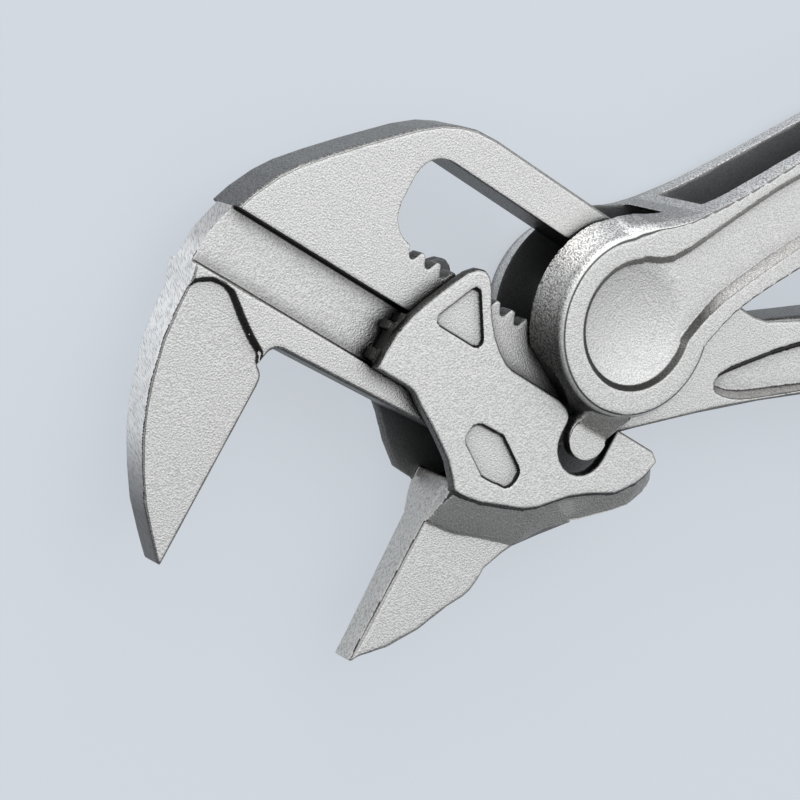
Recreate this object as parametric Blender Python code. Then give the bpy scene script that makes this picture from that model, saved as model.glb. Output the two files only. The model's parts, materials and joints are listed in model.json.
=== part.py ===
"""Pliers wrench, 100 mm class: parallel smooth jaws, forked lever, push button on the back.

The tool lies on its back. The pivot axis stands on the origin, +Z points out of the front
face, +X runs along the jaw's slide, out of the fixed jaw's gripping face, and +Y runs square
to it, away from the jaws. The pieces are drawn about the plate's middle level.
"""
import math

import bmesh
import bpy

MM = 0.001

# Main lever: plate, guide groove and window
PLATE_T = 4.2 * MM
PLATE_EDGE_R = 0.25 * MM
PIVOT_ABOVE_GUIDE = 7.8 * MM
GUIDE_H = 4.9 * MM
GUIDE_DEPTH = 0.9 * MM
HEAD_BACK = 34.1 * MM
BAR_H = 3.3 * MM
BAR_START = 17.1 * MM
BAR_END = 12.6 * MM
WINDOW_H = 6.9 * MM
WINDOW_CORNER_R = 2.4 * MM
RACK_PITCH = 1.6 * MM
TOOTH_DEPTH = 0.85 * MM
TOOTH_FLAT = 0.4 * MM
NOTCH_FLAT = 0.35 * MM
RACK_T = 1.45 * MM
STEPS_CLOSING = 11
STEPS_OPENING = 1

# Main lever: fixed jaw
JAW_FACE_BACK = 25.5 * MM
JAW_DEPTH = 25.0 * MM
JAW_TOP = 10.3 * MM
JAW_STEP = 0.4 * MM
RAIL_H = 7.2 * MM
RAIL_RISE = 0.9 * MM
RAIL_END = 3.0 * MM
ARCH_IN = 0.95 * MM
ARCH_OUT = 0.1 * MM
ARCH_DROP = 9.0 * MM
JAW_RIDGE = 6.6 * MM
RIDGE_SIDE_IN = 0.45 * MM

# Main lever: neck and handle
NECK_X = 9.5 * MM
NECK_Y = 0.2 * MM
MAIN_HEADING = 35.0
MAIN_HANDLE_L = 52.0 * MM
MAIN_HANDLE_W = 7.4 * MM
MAIN_HANDLE_T = 7.0 * MM
MAIN_BOW = 1.2 * MM
HEEL_X = 7.0 * MM
HEEL_RISE = 1.6 * MM
NECK_SHARE = 0.19
MAIN_INSET = 0.1 * MM

# Fork lever
RUN_GAP = 0.3 * MM
CHEEK_T = 2.9 * MM
EYE_BASE_R = 8.2 * MM
EYE_RIM_R = 6.7 * MM
EYE_WALL_R = 7.35 * MM
EYE_AHEAD = 0.1 * MM
EYE_RISE = 0.15 * MM
DISH_R = 5.25 * MM
DISH_AHEAD = 0.05 * MM
DISH_RISE = 0.25 * MM
DISH_DEPTH = 0.4 * MM
SHOULDER_H = 0.8 * MM
FORK_SLOT_DEPTH = 9.2 * MM
FORK_SLOT_HEADING = 105.0
FORK_HEADING = 51.0
FORK_SIDE = 0.6 * MM
FORK_HANDLE_L = 59.0 * MM
FORK_HANDLE_W = 8.2 * MM
FORK_BOW = 1.0 * MM
TROUGH_START = 10.6 * MM
TROUGH_WALL = 1.9 * MM
TROUGH_WEB = 2.4 * MM
NOSE_REACH = 9.0 * MM
NOSE_AHEAD = 2.15 * MM
NOSE_R = 1.85 * MM
NOSE_T = 1.0 * MM
NECK_W = 3.5 * MM
CHIN_DEPTH = 7.25 * MM
CHIN_LEFT_HEADING = -115.0
CHIN_RIGHT_HEADING = -58.0
TROUGH_END_SHARE = 0.93
TROUGH_FLOOR_SHARE = 0.8
HANDLE_EDGE = 0.12 * MM
MID_LEVEL_SHARE = 0.6
EYE_STEPS = 48
EYE_ROUND_STEPS = 4

# Handle panels
PANEL_DEPTH = 0.7 * MM
PANEL_SLOPE = 0.5 * MM
PANEL_SLOPE_SHARE = 0.3

# Sliding jaw
JAW_GAPE = 18.6 * MM
JAW_CHEEK_T = 0.9 * MM
JAW_CHEEK_BACK = 18.2 * MM
JAW_CHEEK_RISE = 5.6 * MM
BEAK_REACH = 9.6 * MM
BEAK_RISE = 0.6 * MM
BEAK_DROP = 10.2 * MM
JAW_BLADE_T = 3.4 * MM
JAW_EDGE_R = 0.2 * MM
SOCKET_GAP = 0.45 * MM
SOCKET_SINK = 0.75 * MM
SOCKET_LIP_R = 1.3 * MM
CHEEK_PEAK_IN = 4.7 * MM
CHEEK_SADDLE_RUN = 6.4 * MM
SADDLE_RISE = 0.25 * MM
BEAK_CORNER = 0.9 * MM
CHEEK_TOE = 6.8 * MM
BODY_BACK = 0.1 * MM
RIB_END = 0.5 * MM
BODY_DROP = 13.0 * MM
BLADE_ROOT = 9.0 * MM
BLADE_ROOT_W = 10.6 * MM
POCKET_IN = 3.5 * MM
POCKET_DROP = 1.7 * MM
RELIEF_DEPTH = 0.35 * MM
TRIANGLE_W = 5.6 * MM
TRIANGLE_H = 4.6 * MM
TRIANGLE_R = 0.55 * MM
TRIANGLE_SHARES = [(-0.42, 0.04), (0.58, 0.04), (0.0, 1.0)]
LONG_BACK = 10.5 * MM
LONG_DROP = 8.0 * MM
LONG_W = 6.4 * MM
LONG_H = 3.6 * MM
LONG_R = 0.8 * MM
LONG_SHARES = [(0.5, 0.0), (0.93, 0.04), (1.0, 0.5), (0.5, 1.0), (0.06, 0.96), (0.0, 0.5)]

# Pivot bolt, spring and ring
BOLT_R = 4.25 * MM
BOLT_GAP = 0.1 * MM
BUTTON_R = 3.2 * MM
BUTTON_T = 0.95 * MM
BUTTON_STEPS = 32
BOLT_STEPS = 40
PRESS_TRAVEL = 1.45 * MM
BOLT_WALL = 0.35 * MM
BOLT_EDGE_R = 0.25 * MM
SPRING_BORE_R = 1.9 * MM
SPRING_BORE_DEPTH = 3.6 * MM
SPRING_WIRE_R = 0.2 * MM
SPRING_TURNS = 6
SPRING_TURN_POINTS = 10
SEAT_GAP = 0.15 * MM
RING_T = 0.4 * MM
RING_INNER_R = 3.5 * MM
RING_OUTER_R = 4.75 * MM
RING_MOUTH_ANGLE = 40.0

OVERRUN = 1.0 * MM
FLAT_COSINE = 0.99
SHARP_ANGLE = 35.0
ROUND_SEGMENTS = 2
ROUND_PROFILE = 0.5

# Derived levels and places
HALF_PLATE = PLATE_T / 2
CHEEK_IN = HALF_PLATE + RUN_GAP
CHEEK_OUT = CHEEK_IN + CHEEK_T
JAW_CHEEK_OUT = CHEEK_IN + JAW_CHEEK_T
GUIDE_TOP = -PIVOT_ABOVE_GUIDE
GUIDE_BOTTOM = GUIDE_TOP - GUIDE_H
WEB_HALF = HALF_PLATE - GUIDE_DEPTH
BAR_TOP = WINDOW_H / 2 + BAR_H
FACE_X = -JAW_FACE_BACK
SLIDING_FACE_X = FACE_X + JAW_GAPE
JAW_TIP_Y = GUIDE_TOP - JAW_DEPTH
MID_Z = CHEEK_OUT


def clear_scene():
    """Remove every object of the open scene."""
    for item in list(bpy.data.objects):
        bpy.data.objects.remove(item, do_unlink=True)


def collection(name):
    """Return a new collection linked to the scene."""
    group = bpy.data.collections.new(name)
    bpy.context.scene.collection.children.link(group)
    return group


def steel(name, colour, roughness):
    """Return a metallic material."""
    material = bpy.data.materials.new(name)
    material.use_nodes = True
    shader = material.node_tree.nodes["Principled BSDF"]
    shader.inputs["Base Color"].default_value = (*colour, 1)
    shader.inputs["Metallic"].default_value = 1
    shader.inputs["Roughness"].default_value = roughness
    return material


def add_object(name, mesh, group, parent):
    """Place a mesh in a collection under a parent."""
    item = bpy.data.objects.new(name, mesh)
    group.objects.link(item)
    item.parent = parent
    return item


def stretch(start, end, shares):
    """Points between two corners, given as shares of the way in x and in y."""
    return [(start[0] + (end[0] - start[0]) * across,
             start[1] + (end[1] - start[1]) * along) for across, along in shares]


def arc(centre, radius, first, last, count):
    """Points on a round stretch, angles in degrees."""
    points = []
    for step in range(count + 1):
        angle = math.radians(first + (last - first) * step / count)
        points.append((centre[0] + radius * math.cos(angle), centre[1] + radius * math.sin(angle)))
    return points


def round_rims(work, radius):
    """Round the edges where the flat faces at the top and bottom meet the walls."""
    for sign in (1, -1):
        flat = [face for face in work.faces if face.normal.z * sign > FLAT_COSINE]
        bmesh.ops.dissolve_faces(work, faces=flat)
    rims = [edge for edge in work.edges
            if sum(abs(face.normal.z) > FLAT_COSINE for face in edge.link_faces) == 1]
    bmesh.ops.bevel(work, geom=rims, offset=radius, segments=ROUND_SEGMENTS, profile=ROUND_PROFILE,
                    affect="EDGES", clamp_overlap=False)


def flat_mesh(name, outline, low, high, rim=0):
    """Extrude a flat outline between two levels, with its rims rounded if asked."""
    curve = bpy.data.curves.new(name, "CURVE")
    curve.dimensions = "2D"
    curve.fill_mode = "BOTH"
    curve.extrude = (high - low) / 2
    spline = curve.splines.new("POLY")
    spline.points.add(len(outline) - 1)
    for point, (x, y) in zip(spline.points, outline):
        point.co = (x, y, 0, 1)
    spline.use_cyclic_u = True
    holder = bpy.data.objects.new(name, curve)
    bpy.context.scene.collection.objects.link(holder)
    graph = bpy.context.evaluated_depsgraph_get()
    mesh = bpy.data.meshes.new_from_object(holder.evaluated_get(graph))
    bpy.data.objects.remove(holder)
    bpy.data.curves.remove(curve)
    work = bmesh.new()
    work.from_mesh(mesh)
    bmesh.ops.remove_doubles(work, verts=work.verts, dist=MM / 1000)
    bmesh.ops.translate(work, verts=work.verts, vec=(0, 0, (high + low) / 2))
    bmesh.ops.recalc_face_normals(work, faces=work.faces)
    if rim:
        round_rims(work, rim)
    work.to_mesh(mesh)
    work.free()
    mesh.name = name
    return mesh


def loft_mesh(name, rings):
    """Skin closed rings of equal point count and close both ends."""
    work = bmesh.new()
    loops = [[work.verts.new(point) for point in ring] for ring in rings]
    count = len(rings[0])
    for lower, upper in zip(loops, loops[1:]):
        for i in range(count):
            j = (i + 1) % count
            work.faces.new((lower[i], lower[j], upper[j], upper[i]))
    work.faces.new(loops[0])
    work.faces.new(loops[-1])
    bmesh.ops.recalc_face_normals(work, faces=work.faces)
    mesh = bpy.data.meshes.new(name)
    work.to_mesh(mesh)
    work.free()
    return mesh


def turned_mesh(name, profile, steps, centre=(0, 0)):
    """Turn a profile of (radius, height) points, listed top to bottom, about an upright axis."""
    work = bmesh.new()
    points = [work.verts.new((radius, 0, height)) for radius, height in profile]
    edges = [work.edges.new(pair) for pair in zip(points, points[1:])]
    bmesh.ops.spin(work, geom=points + edges, axis=(0, 0, 1), cent=(0, 0, 0),
                   angle=math.tau, steps=steps, use_duplicate=False)
    bmesh.ops.remove_doubles(work, verts=work.verts, dist=MM / 1000)
    bmesh.ops.translate(work, verts=work.verts, vec=(*centre, 0))
    bmesh.ops.recalc_face_normals(work, faces=work.faces)
    mesh = bpy.data.meshes.new(name)
    work.to_mesh(mesh)
    work.free()
    return mesh


class Workshop:
    """Holds the collections, the tool's frame and the shared ways to cut and join."""

    def __init__(self):
        self.parts = collection("pliers_wrench")
        self.cutters = collection("cutters")
        self.head = bpy.data.objects.new("head_frame", None)
        self.parts.objects.link(self.head)
        self.head.location = (0, 0, MID_Z)

    def part(self, name, mesh, material):
        """Add a finished piece at the plate's middle level."""
        item = add_object(name, mesh, self.parts, self.head)
        item.data.materials.append(material)
        return item

    def helper(self, name, mesh):
        """Add a cutter or a joined shape, hidden from the render."""
        item = add_object(name, mesh, self.cutters, self.head)
        item.hide_render = True
        item.display_type = "WIRE"
        return item

    def combine(self, item, helper, operation):
        """Add an exact Boolean of one helper to a piece."""
        modifier = item.modifiers.new(helper.name, "BOOLEAN")
        modifier.operation = operation
        modifier.solver = "EXACT"
        modifier.object = helper

    def cut(self, item, name, mesh):
        """Cut a mesh out of a piece."""
        helper = self.helper(name, mesh)
        self.combine(item, helper, "DIFFERENCE")
        return helper

    def join(self, item, name, mesh):
        """Join a mesh to a piece."""
        helper = self.helper(name, mesh)
        self.combine(item, helper, "UNION")
        return helper


def finish(item):
    """Apply a piece's cuts and joins, then shade it smooth between sharp creases."""
    graph = bpy.context.evaluated_depsgraph_get()
    item.data = bpy.data.meshes.new_from_object(item.evaluated_get(graph))
    item.modifiers.clear()
    item.data.shade_smooth()
    item.data.set_sharp_from_angle(angle=math.radians(SHARP_ANGLE))
    item.modifiers.new("weighted", "WEIGHTED_NORMAL").keep_sharp = True


# Handle centre lines and sections
SECTION_CORNER_STEPS = 3


def centre_line(start, heading, length, bow, share):
    """Place and heading at a share of a handle's bowed centre line."""
    angle = math.radians(heading)
    side = bow * math.sin(math.pi * share)
    x = start[0] + length * share * math.cos(angle) - side * math.sin(angle)
    y = start[1] + length * share * math.sin(angle) + side * math.cos(angle)
    turn = math.atan2(bow * math.pi * math.cos(math.pi * share), length)
    return x, y, angle + turn


def rounded_box(left, right, low, high, corner):
    """Section points (across, up) of a box with round corners."""
    points = []
    corners = ((right - corner, low + corner, -90), (right - corner, high - corner, 0),
               (left + corner, high - corner, 90), (left + corner, low + corner, 180))
    for across, up, first in corners:
        points += arc((across, up), corner, first, first + 90, SECTION_CORNER_STEPS)
    return points


def section_ring(place, points):
    """Stand a section square to the centre line at a place."""
    x, y, angle = place
    normal = (math.sin(angle), -math.cos(angle))
    return [(x + normal[0] * across, y + normal[1] * across, up) for across, up in points]


def share_at(table, share, column=1):
    """Read a column of a table of shares between its rows; the first column is the place."""
    for before, after in zip(table, table[1:]):
        if share <= after[0]:
            way = (share - before[0]) / (after[0] - before[0])
            return before[column] + (after[column] - before[column]) * way
    return table[-1][column]


# Main lever
HEAD_CURVE_SHARES = [(0.035, 0.1), (0.1, 0.235), (0.165, 0.335), (0.27, 0.46), (0.405, 0.61),
                     (0.49, 0.7), (0.605, 0.82), (0.705, 0.905), (0.795, 0.956), (0.88, 0.987)]
RIDGE_SHARES = [(0.03, -0.22), (0.08, -0.35), (0.19, -0.54), (0.3, -0.59), (0.395, -0.5),
                (0.53, -0.2), (0.61, 0.0), (0.79, 0.38), (0.95, 0.66)]
ARCH_SHARES = [(0.03, 0.35), (0.2, 0.7), (0.55, 0.92)]
SHOULDER_SHARE = 0.85
MAIN_THICKNESS_SHARES = [(0.0, 0.0), (0.16, 0.0), (0.3, 0.45), (0.5, 1.0), (0.9, 1.0),
                         (0.97, 0.7), (1.0, 0.2)]
JAW_BACK_SHARES = [(-0.1, 0.0), (0.0, 0.0), (0.12, 0.01), (0.24, 0.036), (0.4, 0.12), (0.5, 0.195),
                   (0.6, 0.29), (0.71, 0.43), (0.82, 0.59), (0.92, 0.79), (1.0, 0.965)]
JAW_CORNER_SHARES = [(0.0, 0.0), (0.35, 0.08), (0.74, 0.35), (0.94, 0.7), (1.0, 1.0)]
JAW_THIN_SHARE = 0.3
MAIN_CORNER_SHARES = [(0.0, 0.06), (0.16, 0.08), (0.4, 0.3), (1.0, 0.3)]
MAIN_SIDE_SHARES = [(0.0, -0.5, 0.45), (0.06, -0.52, 0.425), (0.14, -0.53, 0.39), (0.22, -0.53, 0.383),
                    (0.35, -0.53, 0.4), (0.5, -0.52, 0.44), (0.7, -0.52, 0.5), (0.85, -0.5, 0.5),
                    (0.94, -0.45, 0.45), (0.98, -0.34, 0.34), (1.0, -0.18, 0.18)]
NECK_LEFT_SHARE = 0.15
NECK_RIGHT_SHARE = 0.06


def main_place(share):
    """Centre line of the fixed handle."""
    return centre_line((NECK_X, -NECK_Y), MAIN_HEADING, MAIN_HANDLE_L, -MAIN_BOW, share)


def main_outline():
    """Outline of the plate: head, top bar, neck, heel, rail and the ridge above the jaw."""
    back = -HEAD_BACK
    shoulder = (back - GUIDE_DEPTH, GUIDE_BOTTOM)
    ridge_left = (back - GUIDE_DEPTH + RIDGE_SIDE_IN, GUIDE_TOP - JAW_RIDGE)
    arch = (FACE_X - ARCH_IN, GUIDE_TOP - ARCH_DROP)
    rail = (FACE_X + ARCH_OUT, GUIDE_TOP - RAIL_H)
    rail_end = (-RAIL_END, GUIDE_TOP - RAIL_H + RAIL_RISE)
    heel = (HEEL_X, GUIDE_TOP + HEEL_RISE)
    points = [shoulder, (back - GUIDE_DEPTH * SHOULDER_SHARE, GUIDE_TOP - GUIDE_H / 2),
              (back, GUIDE_TOP)]
    points += stretch((back, GUIDE_TOP), (-BAR_START, BAR_TOP), HEAD_CURVE_SHARES)
    points += [(-BAR_START, BAR_TOP), (BAR_END, BAR_TOP)]
    points += [neck_point(NECK_LEFT_SHARE, 1), neck_point(NECK_SHARE, 1)]
    points += [neck_point(NECK_SHARE, 2), neck_point(NECK_RIGHT_SHARE, 2)]
    points += [heel, rail_end, rail]
    points += stretch(rail, arch, [(1 - across, 1 - along) for across, along in ARCH_SHARES[::-1]])
    points.append(arch)
    points += stretch(ridge_left, arch, RIDGE_SHARES)[::-1]
    points.append(ridge_left)
    return points


def neck_point(share, column):
    """Point of the plate's neck, just inside the handle's left (1) or right (2) side."""
    x, y, angle = main_place(share)
    across = MAIN_HANDLE_W * share_at(MAIN_SIDE_SHARES, share, column)
    across -= math.copysign(MAIN_INSET, across)
    return (x + math.sin(angle) * across, y - math.cos(angle) * across)


def window_outline(low, high):
    """Outline of the window, with round corners, between two levels of y."""
    left = -(STEPS_CLOSING * RACK_PITCH + BOLT_R + RUN_GAP)
    right = STEPS_OPENING * RACK_PITCH + BOLT_R + RUN_GAP
    corner = WINDOW_CORNER_R
    points = arc((right - corner, high - corner), corner, 0, 90, 6)
    points += arc((left + corner, high - corner), corner, 90, 180, 6)
    points += arc((left + corner, low + corner), corner, 180, 270, 6)
    points += arc((right - corner, low + corner), corner, 270, 360, 6)
    return points


def rack_outline():
    """Comb of V notches that the bolt's teeth drop into, one notch a pitch."""
    top = -WINDOW_H / 2 + OVERRUN
    edge = -WINDOW_H / 2
    root = edge - TOOTH_DEPTH
    mouth = RACK_PITCH / 2 - TOOTH_FLAT / 2
    points = []
    for step in range(-STEPS_CLOSING - 1, STEPS_OPENING + 2):
        middle = step * RACK_PITCH
        points += [(middle - mouth, edge), (middle - NOTCH_FLAT / 2, root),
                   (middle + NOTCH_FLAT / 2, root), (middle + mouth, edge)]
    return points + [(points[-1][0], top), (points[0][0], top)]


def blade_rings(face, toward, root_y, tip_y, root_width, root_half, shares):
    """Rings of a jaw blade from its root to its tip; toward is +1 where the face looks to +x."""
    rings = []
    for down, inward in shares:
        y = root_y + (tip_y - root_y) * down
        half = root_half * (1 - JAW_THIN_SHARE * down)
        back = face - toward * root_width * (1 - inward)
        nick = toward * JAW_EDGE_R
        rings.append([(face - nick, y, half), (back + nick, y, half), (back, y, half - JAW_EDGE_R),
                      (back, y, JAW_EDGE_R - half), (back + nick, y, -half), (face - nick, y, -half),
                      (face, y, JAW_EDGE_R - half), (face, y, half - JAW_EDGE_R)])
    return rings


def main_lever(shop, material):
    """Forged lever: plate with guide groove, window and rack, fixed jaw and handle."""
    plate = flat_mesh("main_lever", main_outline(), -HALF_PLATE, HALF_PLATE, PLATE_EDGE_R)
    lever = shop.part("main_lever", plate, material)
    blade_top = GUIDE_TOP - JAW_RIDGE + PLATE_EDGE_R
    root_width = HEAD_BACK + GUIDE_DEPTH - JAW_FACE_BACK - RIDGE_SIDE_IN
    blade = blade_rings(FACE_X, 1, blade_top, JAW_TIP_Y, root_width, HALF_PLATE - JAW_STEP,
                        JAW_BACK_SHARES)
    trim = shop.join(lever, "fixed_blade", loft_mesh("fixed_blade", blade))
    corner = stretch((FACE_X - ARCH_IN, GUIDE_TOP - ARCH_DROP), (FACE_X, GUIDE_TOP - JAW_TOP),
                     JAW_CORNER_SHARES)
    corner += [(FACE_X + OVERRUN, GUIDE_TOP - JAW_TOP), (FACE_X + OVERRUN, blade_top + BLADE_ROOT),
               (FACE_X - ARCH_IN - OVERRUN, blade_top + BLADE_ROOT)]
    shop.cut(trim, "blade_corner", flat_mesh("blade_corner", corner, -HALF_PLATE, HALF_PLATE))
    rings = []
    for share, left, right in MAIN_SIDE_SHARES:
        half = main_half(share)
        corner_r = min(MAIN_HANDLE_W * (right - left), half * 2) * share_at(MAIN_CORNER_SHARES, share)
        section = rounded_box(MAIN_HANDLE_W * left, MAIN_HANDLE_W * right, -half, half, corner_r)
        rings.append(section_ring(main_place(share), section))
    shop.join(lever, "main_grip", loft_mesh("main_grip", rings))
    for side in (1, -1):
        groove = [(-HEAD_BACK - OVERRUN * 2, GUIDE_BOTTOM), (HEEL_X + GUIDE_H, GUIDE_BOTTOM),
                  (HEEL_X + GUIDE_H, GUIDE_TOP), (-HEAD_BACK - OVERRUN * 2, GUIDE_TOP)]
        levels = sorted((side * WEB_HALF, side * (HALF_PLATE + OVERRUN)))
        shop.cut(lever, "guide_groove", flat_mesh("guide_groove", groove, *levels))
        panel = panel_mesh(side, main_place, MAIN_PANEL_SHARES, MAIN_HANDLE_W, main_half)
        shop.cut(lever, "main_panel", panel)
    window = window_outline(-WINDOW_H / 2, WINDOW_H / 2)
    shop.cut(lever, "window", flat_mesh("window", window, -HALF_PLATE - OVERRUN,
                                        HALF_PLATE + OVERRUN))
    ledge = HALF_PLATE - RACK_T
    deep = window_outline(-BOLT_R - BOLT_GAP, WINDOW_H / 2)
    shop.cut(lever, "window_back", flat_mesh("window_back", deep, -HALF_PLATE - OVERRUN, ledge))
    shop.cut(lever, "rack", flat_mesh("rack", rack_outline(), ledge - OVERRUN,
                                      HALF_PLATE + OVERRUN))
    finish(lever)
    return lever


def main_half(share):
    """Half thickness of the fixed handle at a share of its length."""
    rise = share_at(MAIN_THICKNESS_SHARES, share)
    return (PLATE_T - MAIN_INSET + (MAIN_HANDLE_T - PLATE_T) * rise) / 2


MAIN_PANEL_SHARES = [(0.048, 0.1, 0.19, 0.8), (0.056, 0.03, 0.24, 1.0), (0.079, -0.035, 0.305, 1.0),
                     (0.1, -0.07, 0.33, 1.0), (0.125, -0.11, 0.337, 1.0), (0.165, -0.174, 0.335, 1.0),
                     (0.205, -0.226, 0.33, 1.0), (0.3, -0.32, 0.33, 1.0), (0.45, -0.38, 0.34, 1.0),
                     (0.65, -0.37, 0.34, 1.0), (0.8, -0.34, 0.34, 1.0), (0.88, -0.28, 0.28, 1.0),
                     (0.91, -0.1, 0.1, 1.0)]
FORK_PANEL_SHARES = [(0.0, -0.5, 0.6, 0.5), (0.046, -0.52, 0.575, 0.57), (0.067, -0.425, 0.49, 0.6),
                     (0.087, -0.37, 0.427, 0.66), (0.115, -0.36, 0.365, 0.8), (0.142, -0.365, 0.325, 0.9),
                     (0.181, -0.375, 0.312, 1.0), (0.242, -0.39, 0.29, 1.0), (0.29, -0.4, 0.28, 1.0),
                     (0.45, -0.4, 0.3, 1.0), (0.65, -0.38, 0.33, 1.0), (0.82, -0.36, 0.33, 1.0),
                     (0.89, -0.28, 0.28, 1.0), (0.92, -0.1, 0.1, 1.0)]
BACK_PANEL_SHARE = 0.115


def panel_mesh(side, place, shares, width, half):
    """Cutter for the sunk panel on one face of a handle."""
    rings = []
    for share, left, right, depth in shares:
        level = half(share)
        low = level - PANEL_DEPTH * depth
        slope = min(PANEL_SLOPE, width * (right - left) * PANEL_SLOPE_SHARE)
        lean = slope * OVERRUN / (PANEL_DEPTH * depth)
        section = [(width * right - slope, low), (width * right + lean, level + OVERRUN),
                   (width * left - lean, level + OVERRUN), (width * left + slope, low)]
        rings.append(section_ring(place(share), [(x, side * z) for x, z in section]))
    return loft_mesh("panel", rings)


# Fork lever
FORK_THICKNESS_SHARES = [(0.0, 1.0), (0.12, 1.0), (0.2, 0.92), (0.27, 0.86), (0.34, 0.82),
                         (0.6, 0.78), (0.9, 0.74), (0.97, 0.6), (1.0, 0.3)]
FORK_SIDE_SHARES = [(0.0, -0.67, 0.78), (0.037, -0.73, 0.81), (0.049, -0.735, 0.77), (0.078, -0.69, 0.675),
                    (0.1, -0.635, 0.6), (0.125, -0.59, 0.545), (0.155, -0.555, 0.5),
                    (0.19, -0.528, 0.483), (0.23, -0.51, 0.48), (0.33, -0.51, 0.485),
                    (0.46, -0.53, 0.5), (0.7, -0.53, 0.52), (0.85, -0.51, 0.51), (0.94, -0.46, 0.46),
                    (0.98, -0.34, 0.34), (1.0, -0.18, 0.18)]
FORK_SWELL_SHARES = [(0.0, 0.8), (0.05, 0.75), (0.087, 0.5), (0.128, 0.25), (0.16, 0.0), (1.0, 0.0)]
TROUGH_SHARES = [(0.0, 0.15), (0.03, 0.6), (0.08, 1.0), (0.5, 1.0), (0.9, 1.0), (1.0, 0.75)]


def fork_place(share):
    """Centre line of the fork's handle, which passes beside the pivot."""
    angle = math.radians(FORK_HEADING)
    start = (-FORK_SIDE * math.sin(angle), FORK_SIDE * math.cos(angle))
    return centre_line(start, FORK_HEADING, FORK_HANDLE_L, FORK_BOW, share)


def fork_half(share):
    """Half thickness of the fork's handle at a share of its length."""
    return CHEEK_OUT * share_at(FORK_THICKNESS_SHARES, share)


def fork_section(share, left, right):
    """Section of the fork's handle: flat faces, round shoulders, and a swell near the eye."""
    half = fork_half(share)
    swell = share_at(FORK_SWELL_SHARES, share)
    waist = min(CHEEK_IN, half * MID_LEVEL_SHARE)
    drop = min(SHOULDER_H, half * (1 - MID_LEVEL_SHARE) / 2)
    sides = []
    for edge, out in ((FORK_HANDLE_W * right, 1), (FORK_HANDLE_W * left, -1)):
        shoulder = edge + out * (HANDLE_EDGE + (EYE_WALL_R - EYE_RIM_R) * swell)
        base = edge + out * (HANDLE_EDGE + (EYE_BASE_R - EYE_RIM_R) * swell)
        sides.append([(edge, half), (shoulder, half - drop), (base, waist)])
    right_up, left_up = sides
    right_low = [(across, -up) for across, up in right_up]
    left_low = [(across, -up) for across, up in left_up]
    return right_low + right_up[::-1] + left_up + left_low[::-1]


def eye_profile():
    """Half section of the eye, from the rim's middle over the shoulder to the base and back."""
    shoulder = EYE_WALL_R - EYE_RIM_R
    front = [(0, CHEEK_OUT), (EYE_RIM_R, CHEEK_OUT)]
    for step in range(1, EYE_ROUND_STEPS + 1):
        angle = math.radians(90 * step / EYE_ROUND_STEPS)
        front.append((EYE_RIM_R + shoulder * math.sin(angle),
                      CHEEK_OUT - SHOULDER_H * (1 - math.cos(angle))))
    front.append((EYE_BASE_R, CHEEK_IN))
    return front + [(radius, -height) for radius, height in front[::-1]]


def dish_profile(level, over):
    """Half section of the round dish, a shallow bowl with a steep smooth lip."""
    points = [(0, level + over), (DISH_R, level + over), (DISH_R, level)]
    for step in range(1, EYE_ROUND_STEPS + 1):
        share = step / EYE_ROUND_STEPS
        drop = DISH_DEPTH * (1 - (1 - share) ** 2)
        points.append((DISH_R * (1 - share * share), level - drop))
    return points


def nose_outline():
    """Outline of a cheek's chin, its neck and the round nose that drives the sliding jaw."""
    middle = (NOSE_AHEAD, -NOSE_REACH)
    left = (NOSE_AHEAD - NECK_W / 2, -NOSE_REACH + NOSE_R / 2)
    right = (NOSE_AHEAD + NECK_W / 2, -NOSE_REACH + NOSE_R / 2)
    points = arc(middle, NOSE_R, 160, 380, 12)
    points += [right, (right[0], -EYE_RIM_R / 2)]
    return points + [(left[0], -EYE_RIM_R / 2), left]


def neck_rings(side):
    """Wedge that carries a cheek's face down to the nose's face."""
    low = side * CHEEK_IN
    nose = side * (CHEEK_IN + NOSE_T)
    top = side * (CHEEK_OUT - SHOULDER_H / 2)
    root = -EYE_RIM_R / 2
    rim = -EYE_RIM_R + SHOULDER_H / 2
    end = -NOSE_REACH + NOSE_R / 3
    rings = []
    for x in (NOSE_AHEAD - NECK_W / 2, NOSE_AHEAD + NECK_W / 2):
        rings.append([(x, root, low), (x, root, top), (x, rim, top), (x, end, nose), (x, end, low)])
    return rings


def half_plane(heading, distance, size):
    """A large square whose near side lies at a distance from the pivot, along a heading."""
    angle = math.radians(heading)
    out = (math.cos(angle), math.sin(angle))
    along = (-out[1], out[0])
    return [(out[0] * a + along[0] * b, out[1] * a + along[1] * b)
            for a, b in ((distance, -size), (distance + size * 2, -size),
                         (distance + size * 2, size), (distance, size))]


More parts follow.
